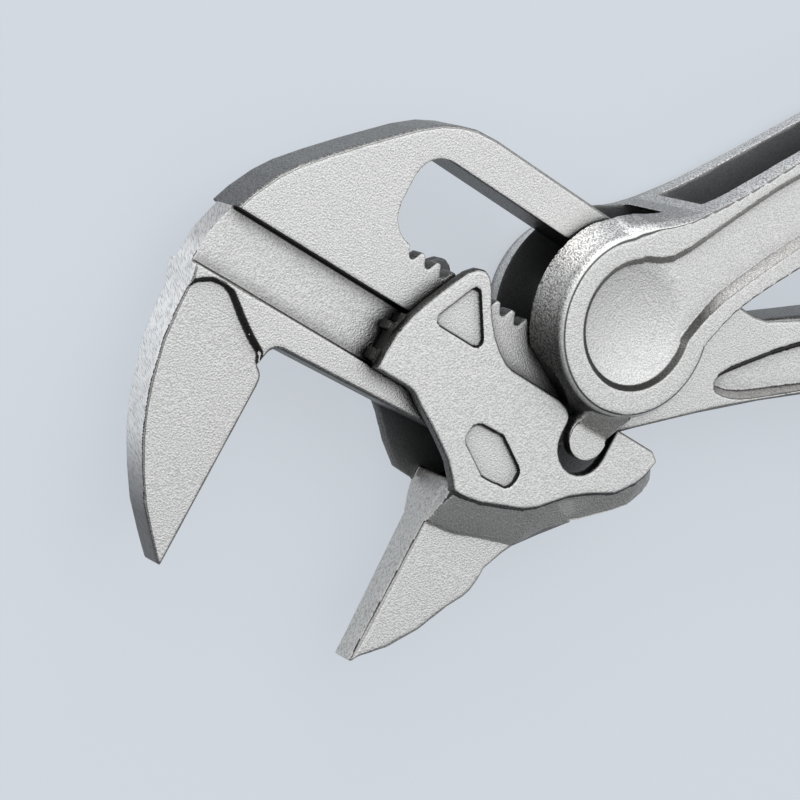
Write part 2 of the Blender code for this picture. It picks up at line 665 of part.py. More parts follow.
def fork_lever(shop, material):
    """Forged fork: two cheeks with noses, blind eye, channel handle."""
    eye = turned_mesh("fork_lever", eye_profile(), EYE_STEPS, (EYE_AHEAD, EYE_RISE))
    lever = shop.part("fork_lever", eye, material)
    for heading in (CHIN_LEFT_HEADING, CHIN_RIGHT_HEADING):
        chin = half_plane(heading, CHIN_DEPTH, EYE_BASE_R)
        shop.cut(lever, "chin_trim", flat_mesh("chin_trim", chin, -CHEEK_OUT - OVERRUN,
                                               CHEEK_OUT + OVERRUN))
    rings = [section_ring(fork_place(share), fork_section(share, left, right))
             for share, left, right in FORK_SIDE_SHARES]
    shop.join(lever, "fork_grip", loft_mesh("fork_grip", rings))
    for side in (1, -1):
        levels = sorted((side * CHEEK_IN, side * (CHEEK_IN + NOSE_T)))
        shop.join(lever, "nose", flat_mesh("nose", nose_outline(), *levels))
        shop.join(lever, "nose_neck", loft_mesh("nose_neck", neck_rings(side)))
    slot = half_plane(FORK_SLOT_HEADING + 180, -FORK_SLOT_DEPTH, FORK_HANDLE_L)
    shop.cut(lever, "fork_slot", flat_mesh("fork_slot", slot, -CHEEK_IN, CHEEK_IN))
    trough = []
    start = TROUGH_START / FORK_HANDLE_L
    for share, depth in TROUGH_SHARES:
        where = start + (TROUGH_END_SHARE - start) * share
        half = fork_half(where) - TROUGH_WALL
        left = FORK_HANDLE_W * share_at(FORK_SIDE_SHARES, where, 1)
        right = FORK_HANDLE_W * share_at(FORK_SIDE_SHARES, where, 2)
        floor = (right - TROUGH_WEB) * depth + left * (1 - depth)
        section = [(floor, -half * TROUGH_FLOOR_SHARE), (floor, half * TROUGH_FLOOR_SHARE),
                   (left - OVERRUN, half), (left - OVERRUN, -half)]
        trough.append(section_ring(fork_place(where), section))
    shop.cut(lever, "trough", loft_mesh("trough", trough))
    for side, first in ((1, 0), (-1, BACK_PANEL_SHARE)):
        rows = [row for row in FORK_PANEL_SHARES if row[0] >= first]
        panel = panel_mesh(side, fork_place, rows, FORK_HANDLE_W, fork_half)
        shop.cut(lever, "fork_panel", panel)
    dish = turned_mesh("dish", dish_profile(CHEEK_OUT, OVERRUN), EYE_STEPS, (DISH_AHEAD, DISH_RISE))
    shop.cut(lever, "dish", dish)
    bore_top = CHEEK_OUT - DISH_DEPTH - BOLT_WALL
    bore = [(0, bore_top), (BOLT_R + BOLT_GAP, bore_top)]
    groove_r = RING_OUTER_R + BOLT_GAP
    ring_low, ring_high = ring_levels()
    bore += [(BOLT_R + BOLT_GAP, ring_high + BOLT_GAP / 2), (groove_r, ring_high + BOLT_GAP / 2),
             (groove_r, ring_low - BOLT_GAP / 2), (BOLT_R + BOLT_GAP, ring_low - BOLT_GAP / 2),
             (BOLT_R + BOLT_GAP, -CHEEK_OUT - OVERRUN), (0, -CHEEK_OUT - OVERRUN)]
    shop.cut(lever, "bolt_bore", turned_mesh("bolt_bore", bore, EYE_STEPS))
    finish(lever)
    return lever


def ring_levels():
    """Lower and upper level of the retaining ring, just behind the bolt's shoulder."""
    high = bolt_shoulder() - BOLT_GAP
    return high - RING_T, high


def bolt_shoulder():
    """Level of the bolt's back shoulder."""
    return -CHEEK_OUT + BUTTON_T


def bolt_front():
    """Level of the bolt's front end at rest: the press travel is free in front of it."""
    return CHEEK_OUT - DISH_DEPTH - BOLT_WALL - PRESS_TRAVEL - BOLT_GAP


def bolt_outline():
    """Bolt outline: a disc with its top cut flat to slide under the bar."""
    high = math.degrees(math.asin((WINDOW_H / 2 - BOLT_GAP) / BOLT_R))
    return arc((0, 0), BOLT_R, -180 - high, high, BOLT_STEPS)


def teeth_cut_outline():
    """What is cut away below the bolt to leave three teeth that fit the rack's notches."""
    edge = -WINDOW_H / 2 + BOLT_GAP
    tip = -WINDOW_H / 2 - TOOTH_DEPTH + BOLT_GAP
    mouth = RACK_PITCH / 2 - TOOTH_FLAT / 2 - BOLT_GAP
    flat = (NOTCH_FLAT - BOLT_GAP) / 2
    side = BOLT_R + OVERRUN
    points = [(-side, edge)]
    for step in (-1, 0, 1):
        middle = step * RACK_PITCH
        points += [(middle - mouth, edge), (middle - flat, tip), (middle + flat, tip),
                   (middle + mouth, edge)]
    return points + [(side, edge), (side, -side), (-side, -side)]


def pivot_bolt(shop, material):
    """Push-button bolt: teeth in front, a clear waist behind them, a round back and button."""
    edge = -WINDOW_H / 2 + BOLT_GAP
    front = bolt_front()
    waist = HALF_PLATE - RACK_T + BOLT_GAP / 2
    back = -CHEEK_IN + BOLT_GAP
    side = BOLT_R + OVERRUN
    bolt = shop.part("pivot_bolt", flat_mesh("pivot_bolt", bolt_outline(), bolt_shoulder(), front),
                     material)
    shop.cut(bolt, "between_teeth", flat_mesh("between_teeth", teeth_cut_outline(), waist,
                                              front + OVERRUN))
    below = [(-side, edge), (side, edge), (side, -side), (-side, -side)]
    shop.cut(bolt, "waist", flat_mesh("waist", below, back, waist + BOLT_GAP / 2))
    button = [(0, back), (BUTTON_R, back), (BUTTON_R, -CHEEK_OUT + BOLT_EDGE_R),
              (BUTTON_R - BOLT_EDGE_R, -CHEEK_OUT), (0, -CHEEK_OUT)]
    shop.join(bolt, "button", turned_mesh("button", button, BUTTON_STEPS))
    bore = [(0, front + OVERRUN), (SPRING_BORE_R, front + OVERRUN),
            (SPRING_BORE_R, front - SPRING_BORE_DEPTH), (0, front - SPRING_BORE_DEPTH)]
    shop.cut(bolt, "spring_bore", turned_mesh("spring_bore", bore, BUTTON_STEPS))
    finish(bolt)
    return bolt


def tube_mesh(name, points, radius, resolution):
    """Sweep a round wire along points and return a welded mesh."""
    curve = bpy.data.curves.new(name, "CURVE")
    curve.dimensions = "3D"
    curve.bevel_depth = radius
    curve.bevel_resolution = resolution
    curve.use_fill_caps = True
    spline = curve.splines.new("POLY")
    spline.points.add(len(points) - 1)
    for point, place in zip(spline.points, points):
        point.co = (*place, 1)
    holder = bpy.data.objects.new(name, curve)
    bpy.context.scene.collection.objects.link(holder)
    graph = bpy.context.evaluated_depsgraph_get()
    mesh = bpy.data.meshes.new_from_object(holder.evaluated_get(graph))
    bpy.data.objects.remove(holder)
    bpy.data.curves.remove(curve)
    work = bmesh.new()
    work.from_mesh(mesh)
    bmesh.ops.remove_doubles(work, verts=work.verts, dist=MM / 1000)
    bmesh.ops.recalc_face_normals(work, faces=work.faces)
    work.to_mesh(mesh)
    work.free()
    mesh.name = name
    return mesh


def bolt_spring(shop, material):
    """Compression spring between the bolt's bore and the blind end of the eye."""
    low = bolt_front() - SPRING_BORE_DEPTH + SPRING_WIRE_R + SEAT_GAP
    high = CHEEK_OUT - DISH_DEPTH - BOLT_WALL - SPRING_WIRE_R - SEAT_GAP
    radius = SPRING_BORE_R - SPRING_WIRE_R - BOLT_GAP
    count = SPRING_TURNS * SPRING_TURN_POINTS
    points = []
    for step in range(count + 1):
        angle = math.tau * step / SPRING_TURN_POINTS
        points.append((radius * math.cos(angle), radius * math.sin(angle),
                       low + (high - low) * step / count))
    spring = shop.part("bolt_spring", tube_mesh("bolt_spring", points, SPRING_WIRE_R, 1), material)
    finish(spring)
    return spring


def retaining_ring(shop, material):
    """Open snap ring that keeps the bolt in the eye from behind."""
    low, high = ring_levels()
    half = RING_MOUTH_ANGLE / 2
    outline = arc((0, 0), RING_OUTER_R, half, 360 - half, 32)
    outline += arc((0, 0), RING_INNER_R, 360 - half, half, 32)
    ring = shop.part("retaining_ring", flat_mesh("retaining_ring", outline, low, high), material)
    finish(ring)
    return ring


# Sliding jaw
CHEEK_LEFT_SHARES = [(0.0, 0.13), (0.03, 0.29), (0.13, 0.44), (0.25, 0.56), (0.4, 0.69),
                     (0.55, 0.81), (0.7, 0.92), (0.85, 0.98), (1.0, 1.0)]
CHEEK_RIGHT_SHARES = [(0.1, 0.95), (0.2, 0.82), (0.31, 0.61), (0.42, 0.44), (0.56, 0.27),
                      (0.72, 0.13), (0.88, 0.03), (1.0, 0.0)]
BEAK_SHARES = [(0.995, 0.05), (0.953, 0.185), (0.9, 0.27), (0.81, 0.36), (0.74, 0.42), (0.5, 0.52),
               (0.34, 0.605), (0.24, 0.68), (0.1, 0.79), (-0.03, 0.855), (-0.27, 0.92),
               (-0.43, 0.965), (-0.63, 0.99), (-0.72, 0.985)]
CHEEK_LOWER_SHARES = [(0.93, 0.82), (0.83, 0.62), (0.71, 0.46), (0.58, 0.3), (0.44, 0.15),
                      (0.36, 0.04), (0.3, 0.0)]
GUSSET_SHARES = [(0.27, -0.02), (0.396, 0.26), (0.51, 0.44), (0.67, 0.75), (0.84, 1.0),
                 (1.05, 1.02), (1.05, 0.5), (0.6, 0.2)]
RIB_END_SHARES = [(1.0, 0.0), (1.0, 0.24), (0.3, 0.24), (0.3, 0.6), (1.0, 0.6), (1.0, 0.78), (0.0, 0.78)]
FLANK_LOW_SHARES = [(0.0, 0.6), (0.0, 0.82), (0.0, 0.99), (0.165, 0.973), (0.3, 0.923),
                    (0.406, 0.892), (0.527, 0.857), (0.618, 0.742), (0.757, 0.577), (0.92, 0.408),
                    (1.005, 0.308), (1.054, 0.188), (1.067, 0.108), (1.0, 0.02), (0.83, 0.16),
                    (0.69, 0.39), (0.41, 0.44), (0.17, 0.58)]
FLANK_MID_SHARES = [(0.0, 0.6), (0.0, 0.76), (0.0, 0.88), (0.15, 0.87), (0.29, 0.82),
                    (0.41, 0.78), (0.52, 0.755), (0.607, 0.685), (0.745, 0.56), (0.905, 0.41),
                    (0.995, 0.31), (1.042, 0.19), (1.05, 0.11), (0.99, 0.02), (0.83, 0.16),
                    (0.69, 0.39), (0.41, 0.43), (0.17, 0.57)]
FLANK_HIGH_SHARES = [(0.0, 0.6), (0.0, 0.68), (0.02, 0.76), (0.13, 0.76), (0.25, 0.71),
                     (0.39, 0.66), (0.47, 0.61), (0.55, 0.52), (0.63, 0.43), (0.77, 0.34),
                     (0.88, 0.25), (0.95, 0.14), (0.98, 0.06), (0.97, 0.01), (0.83, 0.14),
                     (0.69, 0.35), (0.41, 0.42), (0.17, 0.56)]
SLIDE_BACK_SHARES = [(0.0, 0.0), (0.04, 0.03), (0.15, 0.184), (0.25, 0.277), (0.43, 0.443),
                     (0.56, 0.61), (0.72, 0.73), (0.86, 0.845), (0.95, 0.93), (1.0, 0.97)]


def cheek_outline():
    """Outline of the sliding jaw's cheeks with their tip, saddle, socket and beak."""
    left = (-JAW_CHEEK_BACK, GUIDE_BOTTOM - BOLT_GAP)
    peak = (-JAW_CHEEK_BACK + CHEEK_PEAK_IN, GUIDE_TOP + JAW_CHEEK_RISE)
    saddle = (peak[0] + CHEEK_SADDLE_RUN, GUIDE_TOP + SADDLE_RISE)
    middle = (NOSE_AHEAD, -NOSE_REACH - SOCKET_SINK)
    socket = NOSE_R + SOCKET_GAP
    lip = (middle[0] - socket - SOCKET_LIP_R, saddle[1])
    beak_left = (middle[0] + socket, GUIDE_TOP + BEAK_RISE)
    beak = (BEAK_REACH, GUIDE_TOP + BEAK_RISE)
    bottom = GUIDE_TOP - BEAK_DROP
    points = stretch(left, peak, CHEEK_LEFT_SHARES)
    points += stretch(peak, saddle, [(across, 1 - along) for across, along in CHEEK_RIGHT_SHARES])
    points += arc((lip[0], lip[1] - SOCKET_LIP_R), SOCKET_LIP_R, 90, 0, 4)
    points += arc(middle, socket, 180, 360, 10)
    points += [beak_left, (beak[0] - BEAK_CORNER, beak[1])]
    points += stretch((0, beak[1]), (beak[0], bottom), BEAK_SHARES)
    points += stretch(left, (-CHEEK_TOE, bottom), CHEEK_LOWER_SHARES)
    points.append(left)
    return points


def flank_points(shares, level):
    """A ring of the jaw's body, in shares of the way from its face to the beak's end."""
    start = (SLIDING_FACE_X + BODY_BACK, GUIDE_TOP)
    end = (BEAK_REACH, GUIDE_TOP - BODY_DROP)
    return [(x, y, level) for x, y in stretch(start, end, shares)]


def sliding_jaw(shop, material):
    """Forged sliding jaw: two cheeks on the guide, a flared body, the blade and the sockets."""
    cheeks = flat_mesh("sliding_jaw", cheek_outline(), -JAW_CHEEK_OUT, JAW_CHEEK_OUT, JAW_EDGE_R)
    jaw = shop.part("sliding_jaw", cheeks, material)
    blade_half = JAW_BLADE_T / 2
    level = JAW_CHEEK_OUT - JAW_EDGE_R
    body = [flank_points(FLANK_HIGH_SHARES, -level), flank_points(FLANK_MID_SHARES, -CHEEK_IN),
            flank_points(FLANK_LOW_SHARES, -blade_half), flank_points(FLANK_LOW_SHARES, blade_half),
            flank_points(FLANK_MID_SHARES, CHEEK_IN), flank_points(FLANK_HIGH_SHARES, level)]
    shop.join(jaw, "jaw_body", loft_mesh("jaw_body", body))
    blade = blade_rings(SLIDING_FACE_X, -1, GUIDE_TOP - BLADE_ROOT, JAW_TIP_Y, BLADE_ROOT_W,
                        blade_half, SLIDE_BACK_SHARES)
    shop.join(jaw, "sliding_blade", loft_mesh("sliding_blade", blade))
    gusset = stretch((-JAW_CHEEK_BACK, GUIDE_BOTTOM), (SLIDING_FACE_X, GUIDE_TOP - BEAK_DROP),
                     GUSSET_SHARES)
    shop.join(jaw, "back_gusset", flat_mesh("back_gusset", gusset, BOLT_GAP - JAW_CHEEK_OUT,
                                            BOLT_GAP - CHEEK_IN))
    floor = GUIDE_TOP - RAIL_H - RUN_GAP
    slot = [(-JAW_CHEEK_BACK - OVERRUN, floor), (BEAK_REACH + OVERRUN * 2, floor),
            (BEAK_REACH + OVERRUN * 2, 0), (-JAW_CHEEK_BACK - OVERRUN, 0)]
    shop.cut(jaw, "guide_slot", flat_mesh("guide_slot", slot, -CHEEK_IN, CHEEK_IN))
    inside = SLIDING_FACE_X + POCKET_IN
    bottom = floor - POCKET_DROP
    pocket = [(-JAW_CHEEK_BACK - OVERRUN, floor - BODY_DROP), (SLIDING_FACE_X, floor - BODY_DROP),
              (SLIDING_FACE_X, bottom), (inside - POCKET_DROP, bottom),
              (inside, floor), (inside, floor + OVERRUN), (-JAW_CHEEK_BACK - OVERRUN, floor + OVERRUN)]
    shop.cut(jaw, "pocket", flat_mesh("pocket", pocket, -CHEEK_IN, CHEEK_IN))
    for side in (1, -1):
        levels = sorted((side * (WEB_HALF + RUN_GAP), side * (CHEEK_IN + BOLT_GAP)))
        inner = (-JAW_CHEEK_BACK + JAW_EDGE_R, GUIDE_BOTTOM + RUN_GAP)
        outer = (-JAW_CHEEK_BACK - RIB_END, GUIDE_TOP - RUN_GAP)
        rib_right = NOSE_AHEAD - NOSE_R - SOCKET_GAP - SOCKET_LIP_R
        rib = stretch(inner, outer, RIB_END_SHARES[::-1])
        rib += [(rib_right, GUIDE_BOTTOM + RUN_GAP), (rib_right, GUIDE_TOP - RUN_GAP),
                (inner[0], GUIDE_TOP - RUN_GAP)]
        shop.join(jaw, "guide_rib", flat_mesh("guide_rib", rib, *levels))
        levels = sorted((side * (JAW_CHEEK_OUT - RELIEF_DEPTH), side * (JAW_CHEEK_OUT + OVERRUN)))
        shop.cut(jaw, "triangle_recess", flat_mesh("triangle_recess", triangle_outline(), *levels))
        shop.cut(jaw, "long_recess", flat_mesh("long_recess", long_outline(), *levels))
    finish(jaw)
    return jaw


def rounded_outline(corners, radius, steps):
    """Round the corners of a convex outline listed anticlockwise."""
    points = []
    count = len(corners)
    for i, corner in enumerate(corners):
        before = corners[i - 1]
        after = corners[(i + 1) % count]
        first = math.atan2(corner[1] - before[1], corner[0] - before[0])
        second = math.atan2(after[1] - corner[1], after[0] - corner[0])
        turn = (second - first) % math.tau
        inset = radius / math.cos(turn / 2)
        middle = first + turn / 2 + math.pi / 2
        centre = (corner[0] + inset * math.cos(middle), corner[1] + inset * math.sin(middle))
        start = math.degrees(first) - 90
        points += arc(centre, radius, start, start + math.degrees(turn), steps)
    return points


def triangle_outline():
    """Round-cornered triangle sunk in the cheek's tip."""
    base = (-JAW_CHEEK_BACK + CHEEK_PEAK_IN, GUIDE_TOP)
    corners = [(base[0] + TRIANGLE_W * x, base[1] + TRIANGLE_H * y) for x, y in TRIANGLE_SHARES]
    return rounded_outline(corners, TRIANGLE_R, 3)


def long_outline():
    """Slanted long recess with round corners, below the socket."""
    base = (NOSE_AHEAD - LONG_BACK, GUIDE_TOP - LONG_DROP)
    corners = [(base[0] + LONG_W * x, base[1] + LONG_H * y) for x, y in LONG_SHARES]
    return rounded_outline(corners, LONG_R, 3)


def build():
    """Model the whole tool."""
    clear_scene()
    shop = Workshop()
    satin = steel("satin_chrome", (0.62, 0.64, 0.63), 0.34)
    ground = steel("ground_steel", (0.55, 0.56, 0.57), 0.25)
    spring = steel("spring_steel", (0.35, 0.36, 0.38), 0.3)
    main_lever(shop, satin)
    fork_lever(shop, satin)
    sliding_jaw(shop, satin)
    pivot_bolt(shop, ground)
    bolt_spring(shop, spring)
    retaining_ring(shop, spring)


build()
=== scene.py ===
"""Looks of a small pliers wrench with parallel smooth jaws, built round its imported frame.

Lengths are in metres. The pivot axis stands on the origin, +Z points out of the front face,
+X runs along the jaw's slide and +Y away from the jaws. The tool lies on its back.
"""
from __future__ import annotations

import json
import logging
import math
from collections.abc import Callable
from dataclasses import dataclass, replace
from enum import Enum

import bpy
import numpy as np
from mathutils import Matrix, Vector

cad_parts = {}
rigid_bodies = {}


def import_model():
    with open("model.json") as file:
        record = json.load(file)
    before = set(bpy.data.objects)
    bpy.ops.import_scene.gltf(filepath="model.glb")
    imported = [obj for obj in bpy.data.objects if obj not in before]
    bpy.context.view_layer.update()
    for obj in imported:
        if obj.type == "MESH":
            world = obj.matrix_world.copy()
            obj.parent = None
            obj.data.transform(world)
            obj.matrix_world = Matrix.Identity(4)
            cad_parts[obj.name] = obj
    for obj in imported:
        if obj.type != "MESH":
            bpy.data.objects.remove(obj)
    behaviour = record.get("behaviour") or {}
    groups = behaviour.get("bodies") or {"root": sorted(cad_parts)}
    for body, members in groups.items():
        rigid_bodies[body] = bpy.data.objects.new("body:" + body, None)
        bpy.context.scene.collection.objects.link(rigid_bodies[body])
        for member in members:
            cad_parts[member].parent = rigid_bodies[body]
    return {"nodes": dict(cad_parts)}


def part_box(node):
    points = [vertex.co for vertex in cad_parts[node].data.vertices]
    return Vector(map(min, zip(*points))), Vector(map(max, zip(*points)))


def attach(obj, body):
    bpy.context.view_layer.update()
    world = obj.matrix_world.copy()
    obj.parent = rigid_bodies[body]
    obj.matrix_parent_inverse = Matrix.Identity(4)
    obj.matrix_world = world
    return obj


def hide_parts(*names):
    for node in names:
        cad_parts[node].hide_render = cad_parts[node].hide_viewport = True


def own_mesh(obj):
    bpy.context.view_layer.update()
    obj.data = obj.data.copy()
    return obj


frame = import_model()

LOG = logging.getLogger("pliers_wrench")
MM = 0.001
Colour = tuple[float, float, float]
Place = tuple[float, float, float]
Spot = tuple[float, float]
Span = tuple[float, float]
Stops = tuple[tuple[float, float], ...]
FaceTest = Callable[[np.ndarray, np.ndarray], np.ndarray]

# Edges sharper than this many degrees stay sharp in the shading
SMOOTH_ANGLE = 35.0
# Corners of a solid's triangles that lie this close are one corner
MERGE_REACH = MM / 10_000
# How far one smoothing pass moves a corner to the middle of its neighbours
SMOOTH_FACTOR = 0.5
# Faces whose normal has this much of Z count as level
LEVEL = 0.7
# Values between which nearly all of a noise lies, and its number of finer layers
NOISE_SPAN: Span = (0.3, 0.7)
NOISE_LAYERS = 2.0
# Radians that the wave texture runs through per unit at a scale of 1
WAVE_RADIANS = 20
# Rays of the node that finds how open each spot is, for the painted crease shade
CREASE_RAYS = 6
PIVOT: Spot = (0.0, 0.0)


class Body(Enum):
    """Moving bodies of the frame."""

    LEVER = "lever"
    CARRIAGE = "carriage"
    FORK = "fork"
    JAW = "jaw"
    BOLT = "bolt"


class Slot(Enum):
    """Material slots of the part's record."""

    CHROME = "satin_chrome"
    GROUND = "ground_steel"
    SPRING = "spring_steel"


# Node graphs


@dataclass(frozen=True)
class CreaseShade:
    """Painted shade: a darker zone in the colour where little sky reaches.

    Its reach is in metres. The colour keeps the share floor where the open share is at or below
    dark_at, and all of itself from open_at on.
    """

    reach: float
    dark_at: float
    open_at: float
    floor: float


class Graph:
    """A material's node tree with short calls for the nodes that the finishes share."""

    def __init__(self, name: str) -> None:
        """Start a material whose only nodes are a Principled shader and its output."""
        self.material = bpy.data.materials.new(name)
        self.material.use_nodes = True
        self.tree = self.material.node_tree
        self.shader = self.tree.nodes["Principled BSDF"]
        self.place = self.tree.nodes.new("ShaderNodeTexCoord")

    def link(self, source: bpy.types.NodeSocket, target: bpy.types.NodeSocket) -> None:
        """Join two sockets."""
        self.tree.links.new(source, target)

    def node(self, kind: str, **inputs: float) -> bpy.types.Node:
        """Add a node and set its named inputs.

        Args:
            kind: Blender's type name of the node.
            **inputs: Input values, with spaces written as underscores.

        Returns:
            The new node.
        """
        made = self.tree.nodes.new(kind)
        for name, value in inputs.items():
            made.inputs[name.replace("_", " ")].default_value = value
        return made

    def noise(self, size: float, stretch: Place = (1, 1, 1), tilt: float = 0.0) -> bpy.types.NodeSocket:
        """Noise on object coordinates.

        Args:
            size: Width of one patch in metres.
            stretch: Factor on each axis, above 1 where patches are narrow.
            tilt: Turn of the patches about X in degrees.

        Returns:
            The socket with values about one half.
        """
        turned, scaled = self.node("ShaderNodeMapping"), self.node("ShaderNodeMapping")
        turned.inputs["Rotation"].default_value = (math.radians(tilt), 0, 0)
        scaled.inputs["Scale"].default_value = stretch
        made = self.node("ShaderNodeTexNoise", Scale=1 / size, Detail=NOISE_LAYERS)
        self.link(self.place.outputs["Object"], turned.inputs["Vector"])
        self.link(turned.outputs["Vector"], scaled.inputs["Vector"])
        self.link(scaled.outputs["Vector"], made.inputs["Vector"])
        return made.outputs["Fac"]

    def axis(self, source: str, letter: str) -> bpy.types.NodeSocket:
        """One axis of the object's normal or place.

        Args:
            source: "Normal" or "Object".
            letter: "X", "Y" or "Z".

        Returns:
            The socket with the axis's value.
        """
        split = self.node("ShaderNodeSeparateXYZ")
        self.link(self.place.outputs[source], split.inputs[0])
        return split.outputs[letter]

    def away(self, middle: Spot) -> bpy.types.NodeSocket:
        """Distance from an upright axis.

        Args:
            middle: Place of the axis in front view.

        Returns:
            The socket with the distance in metres.
        """
        flat = self.node("ShaderNodeMapping")
        flat.inputs["Location"].default_value = (-middle[0], -middle[1], 0)
        flat.inputs["Scale"].default_value = (1, 1, 0)
        length = self.tree.nodes.new("ShaderNodeVectorMath")
        length.operation = "LENGTH"
        self.link(self.place.outputs["Object"], flat.inputs["Vector"])
        self.link(flat.outputs["Vector"], length.inputs[0])
        return length.outputs["Value"]

    def compute(self, kind: str, first: bpy.types.NodeSocket,
                second: bpy.types.NodeSocket | float = 0.0) -> bpy.types.NodeSocket:
        """Work out one value from one or two others.

        Args:
            kind: Blender's name of the operation.
            first: Socket with the first value.
            second: Socket with the second value, or the value itself.

        Returns:
            The socket with the result.
        """
        made = self.node("ShaderNodeMath")
        made.operation = kind
        self.link(first, made.inputs[0])
        if isinstance(second, float):
            made.inputs[1].default_value = second
        else:
            self.link(second, made.inputs[1])
        return made.outputs[0]

    def rescale(self, source: bpy.types.NodeSocket, low: float, high: float,
                to_low: float, to_high: float) -> bpy.types.NodeSocket:
        """Map one range of values to another, and hold it at both ends.

        Args:
            source: Socket with the values.
            low: Value that becomes to_low.
            high: Value that becomes to_high.
            to_low: Result at low.
            to_high: Result at high.

        Returns:
            The socket with the new values.
        """
        made = self.node("ShaderNodeMapRange", From_Min=low, From_Max=high, To_Min=to_low, To_Max=to_high)
        self.link(source, made.inputs["Value"])
        return made.outputs["Result"]

    def ramp(self, source: bpy.types.NodeSocket, stops: Stops,
             tint: Colour = (1.0, 1.0, 1.0)) -> bpy.types.NodeSocket:
        """Tone that follows a value from 0 to 1 through a few stops.

        Args:
            source: Socket with the values.
            stops: Pairs of value and tone, in rising order.
            tint: Colour at a tone of 1.

        Returns:
            The socket with the tone.
        """
        made = self.tree.nodes.new("ShaderNodeValToRGB")
        marks = made.color_ramp.elements
        marks[0].position, marks[1].position = stops[0][0], stops[-1][0]
        for place, _ in stops[1:-1]:
            marks.new(place)
        for mark, (_, tone) in zip(marks, stops):
            mark.color = (*(tone * channel for channel in tint), 1)
        self.link(source, made.inputs["Fac"])
        return made.outputs["Color"]

    def blend(self, share: bpy.types.NodeSocket, first: Colour | bpy.types.NodeSocket,
              second: Colour | bpy.types.NodeSocket) -> bpy.types.NodeSocket:
        """Colour between two colours.

        Args:
            share: Socket from 0, the first colour, to 1, the second.
            first: First colour, or its socket.
            second: Second colour, or its socket.

        Returns:
            The colour socket.
        """
        made = self.tree.nodes.new("ShaderNodeMix")
        made.data_type = "RGBA"
        ends = [socket for socket in made.inputs if socket.type == "RGBA"]
        for end, colour in zip(ends, (first, second)):
            if isinstance(colour, tuple):
                end.default_value = (*colour, 1)
            else:
                self.link(colour, end)
        self.link(share, made.inputs[0])
        return [socket for socket in made.outputs if socket.type == "RGBA"][0]

    def shade(self, colour: bpy.types.NodeSocket, share: bpy.types.NodeSocket) -> bpy.types.NodeSocket:
        """Darken a colour by a share, from 0 for black to 1 for no change."""
        return self.blend(share, (0.0, 0.0, 0.0), colour)

    def crease_shades(self, crease: CreaseShade) -> bpy.types.NodeSocket:
        """Painted shade: a share from 1 in the open down to a low value deep in corners.

        Args:
            crease: Reach and strength of the painted shade.

        Returns:
            The socket with the share.
        """
        made = self.node("ShaderNodeAmbientOcclusion", Distance=crease.reach)
        made.samples = CREASE_RAYS
        return self.rescale(made.outputs["AO"], crease.dark_at, crease.open_at, crease.floor, 1)

    def bump(self, height: bpy.types.NodeSocket, depth: float,
             below: bpy.types.NodeSocket | None = None) -> bpy.types.NodeSocket:
        """Relief from a height, on top of another relief if one is given.

        Args:
            height: Socket with heights from 0 to 1.
            depth: Height of the relief in metres.
            below: Normal of the relief under this one.

        Returns:
            The normal socket.
        """
        made = self.node("ShaderNodeBump", Distance=depth)
        self.link(height, made.inputs["Height"])
        if below is not None:
            self.link(below, made.inputs["Normal"])
        return made.outputs["Normal"]

    def metal(self, colour: bpy.types.NodeSocket, relief: bpy.types.NodeSocket, roughness: float,
              metallic: float = 1.0) -> bpy.types.Material:
        """Feed the shader.

        Args:
            colour: Socket with the metal's colour.
            relief: Socket with its normal.
            roughness: Roughness of the surface.
            metallic: Share of metal in the surface.

        Returns:
            The finished material.
        """
        self.link(colour, self.shader.inputs["Base Color"])
        self.link(relief, self.shader.inputs["Normal"])
        self.shader.inputs["Metallic"].default_value = metallic
        self.shader.inputs["Roughness"].default_value = roughness
        return self.material


# Finishes

# Painted shade in tight corners, where little sky reaches
TIGHT_SHADE = CreaseShade(1.3 * MM, 0.45, 0.93, 0.15)
EVEN: Stops = ((0.0, 1.0), (1.0, 1.0))


@dataclass(frozen=True)
class Bowl:
    """Round hollow in front view: its middle, radius and depth in metres."""

    middle: Spot
    radius: float
    depth: float


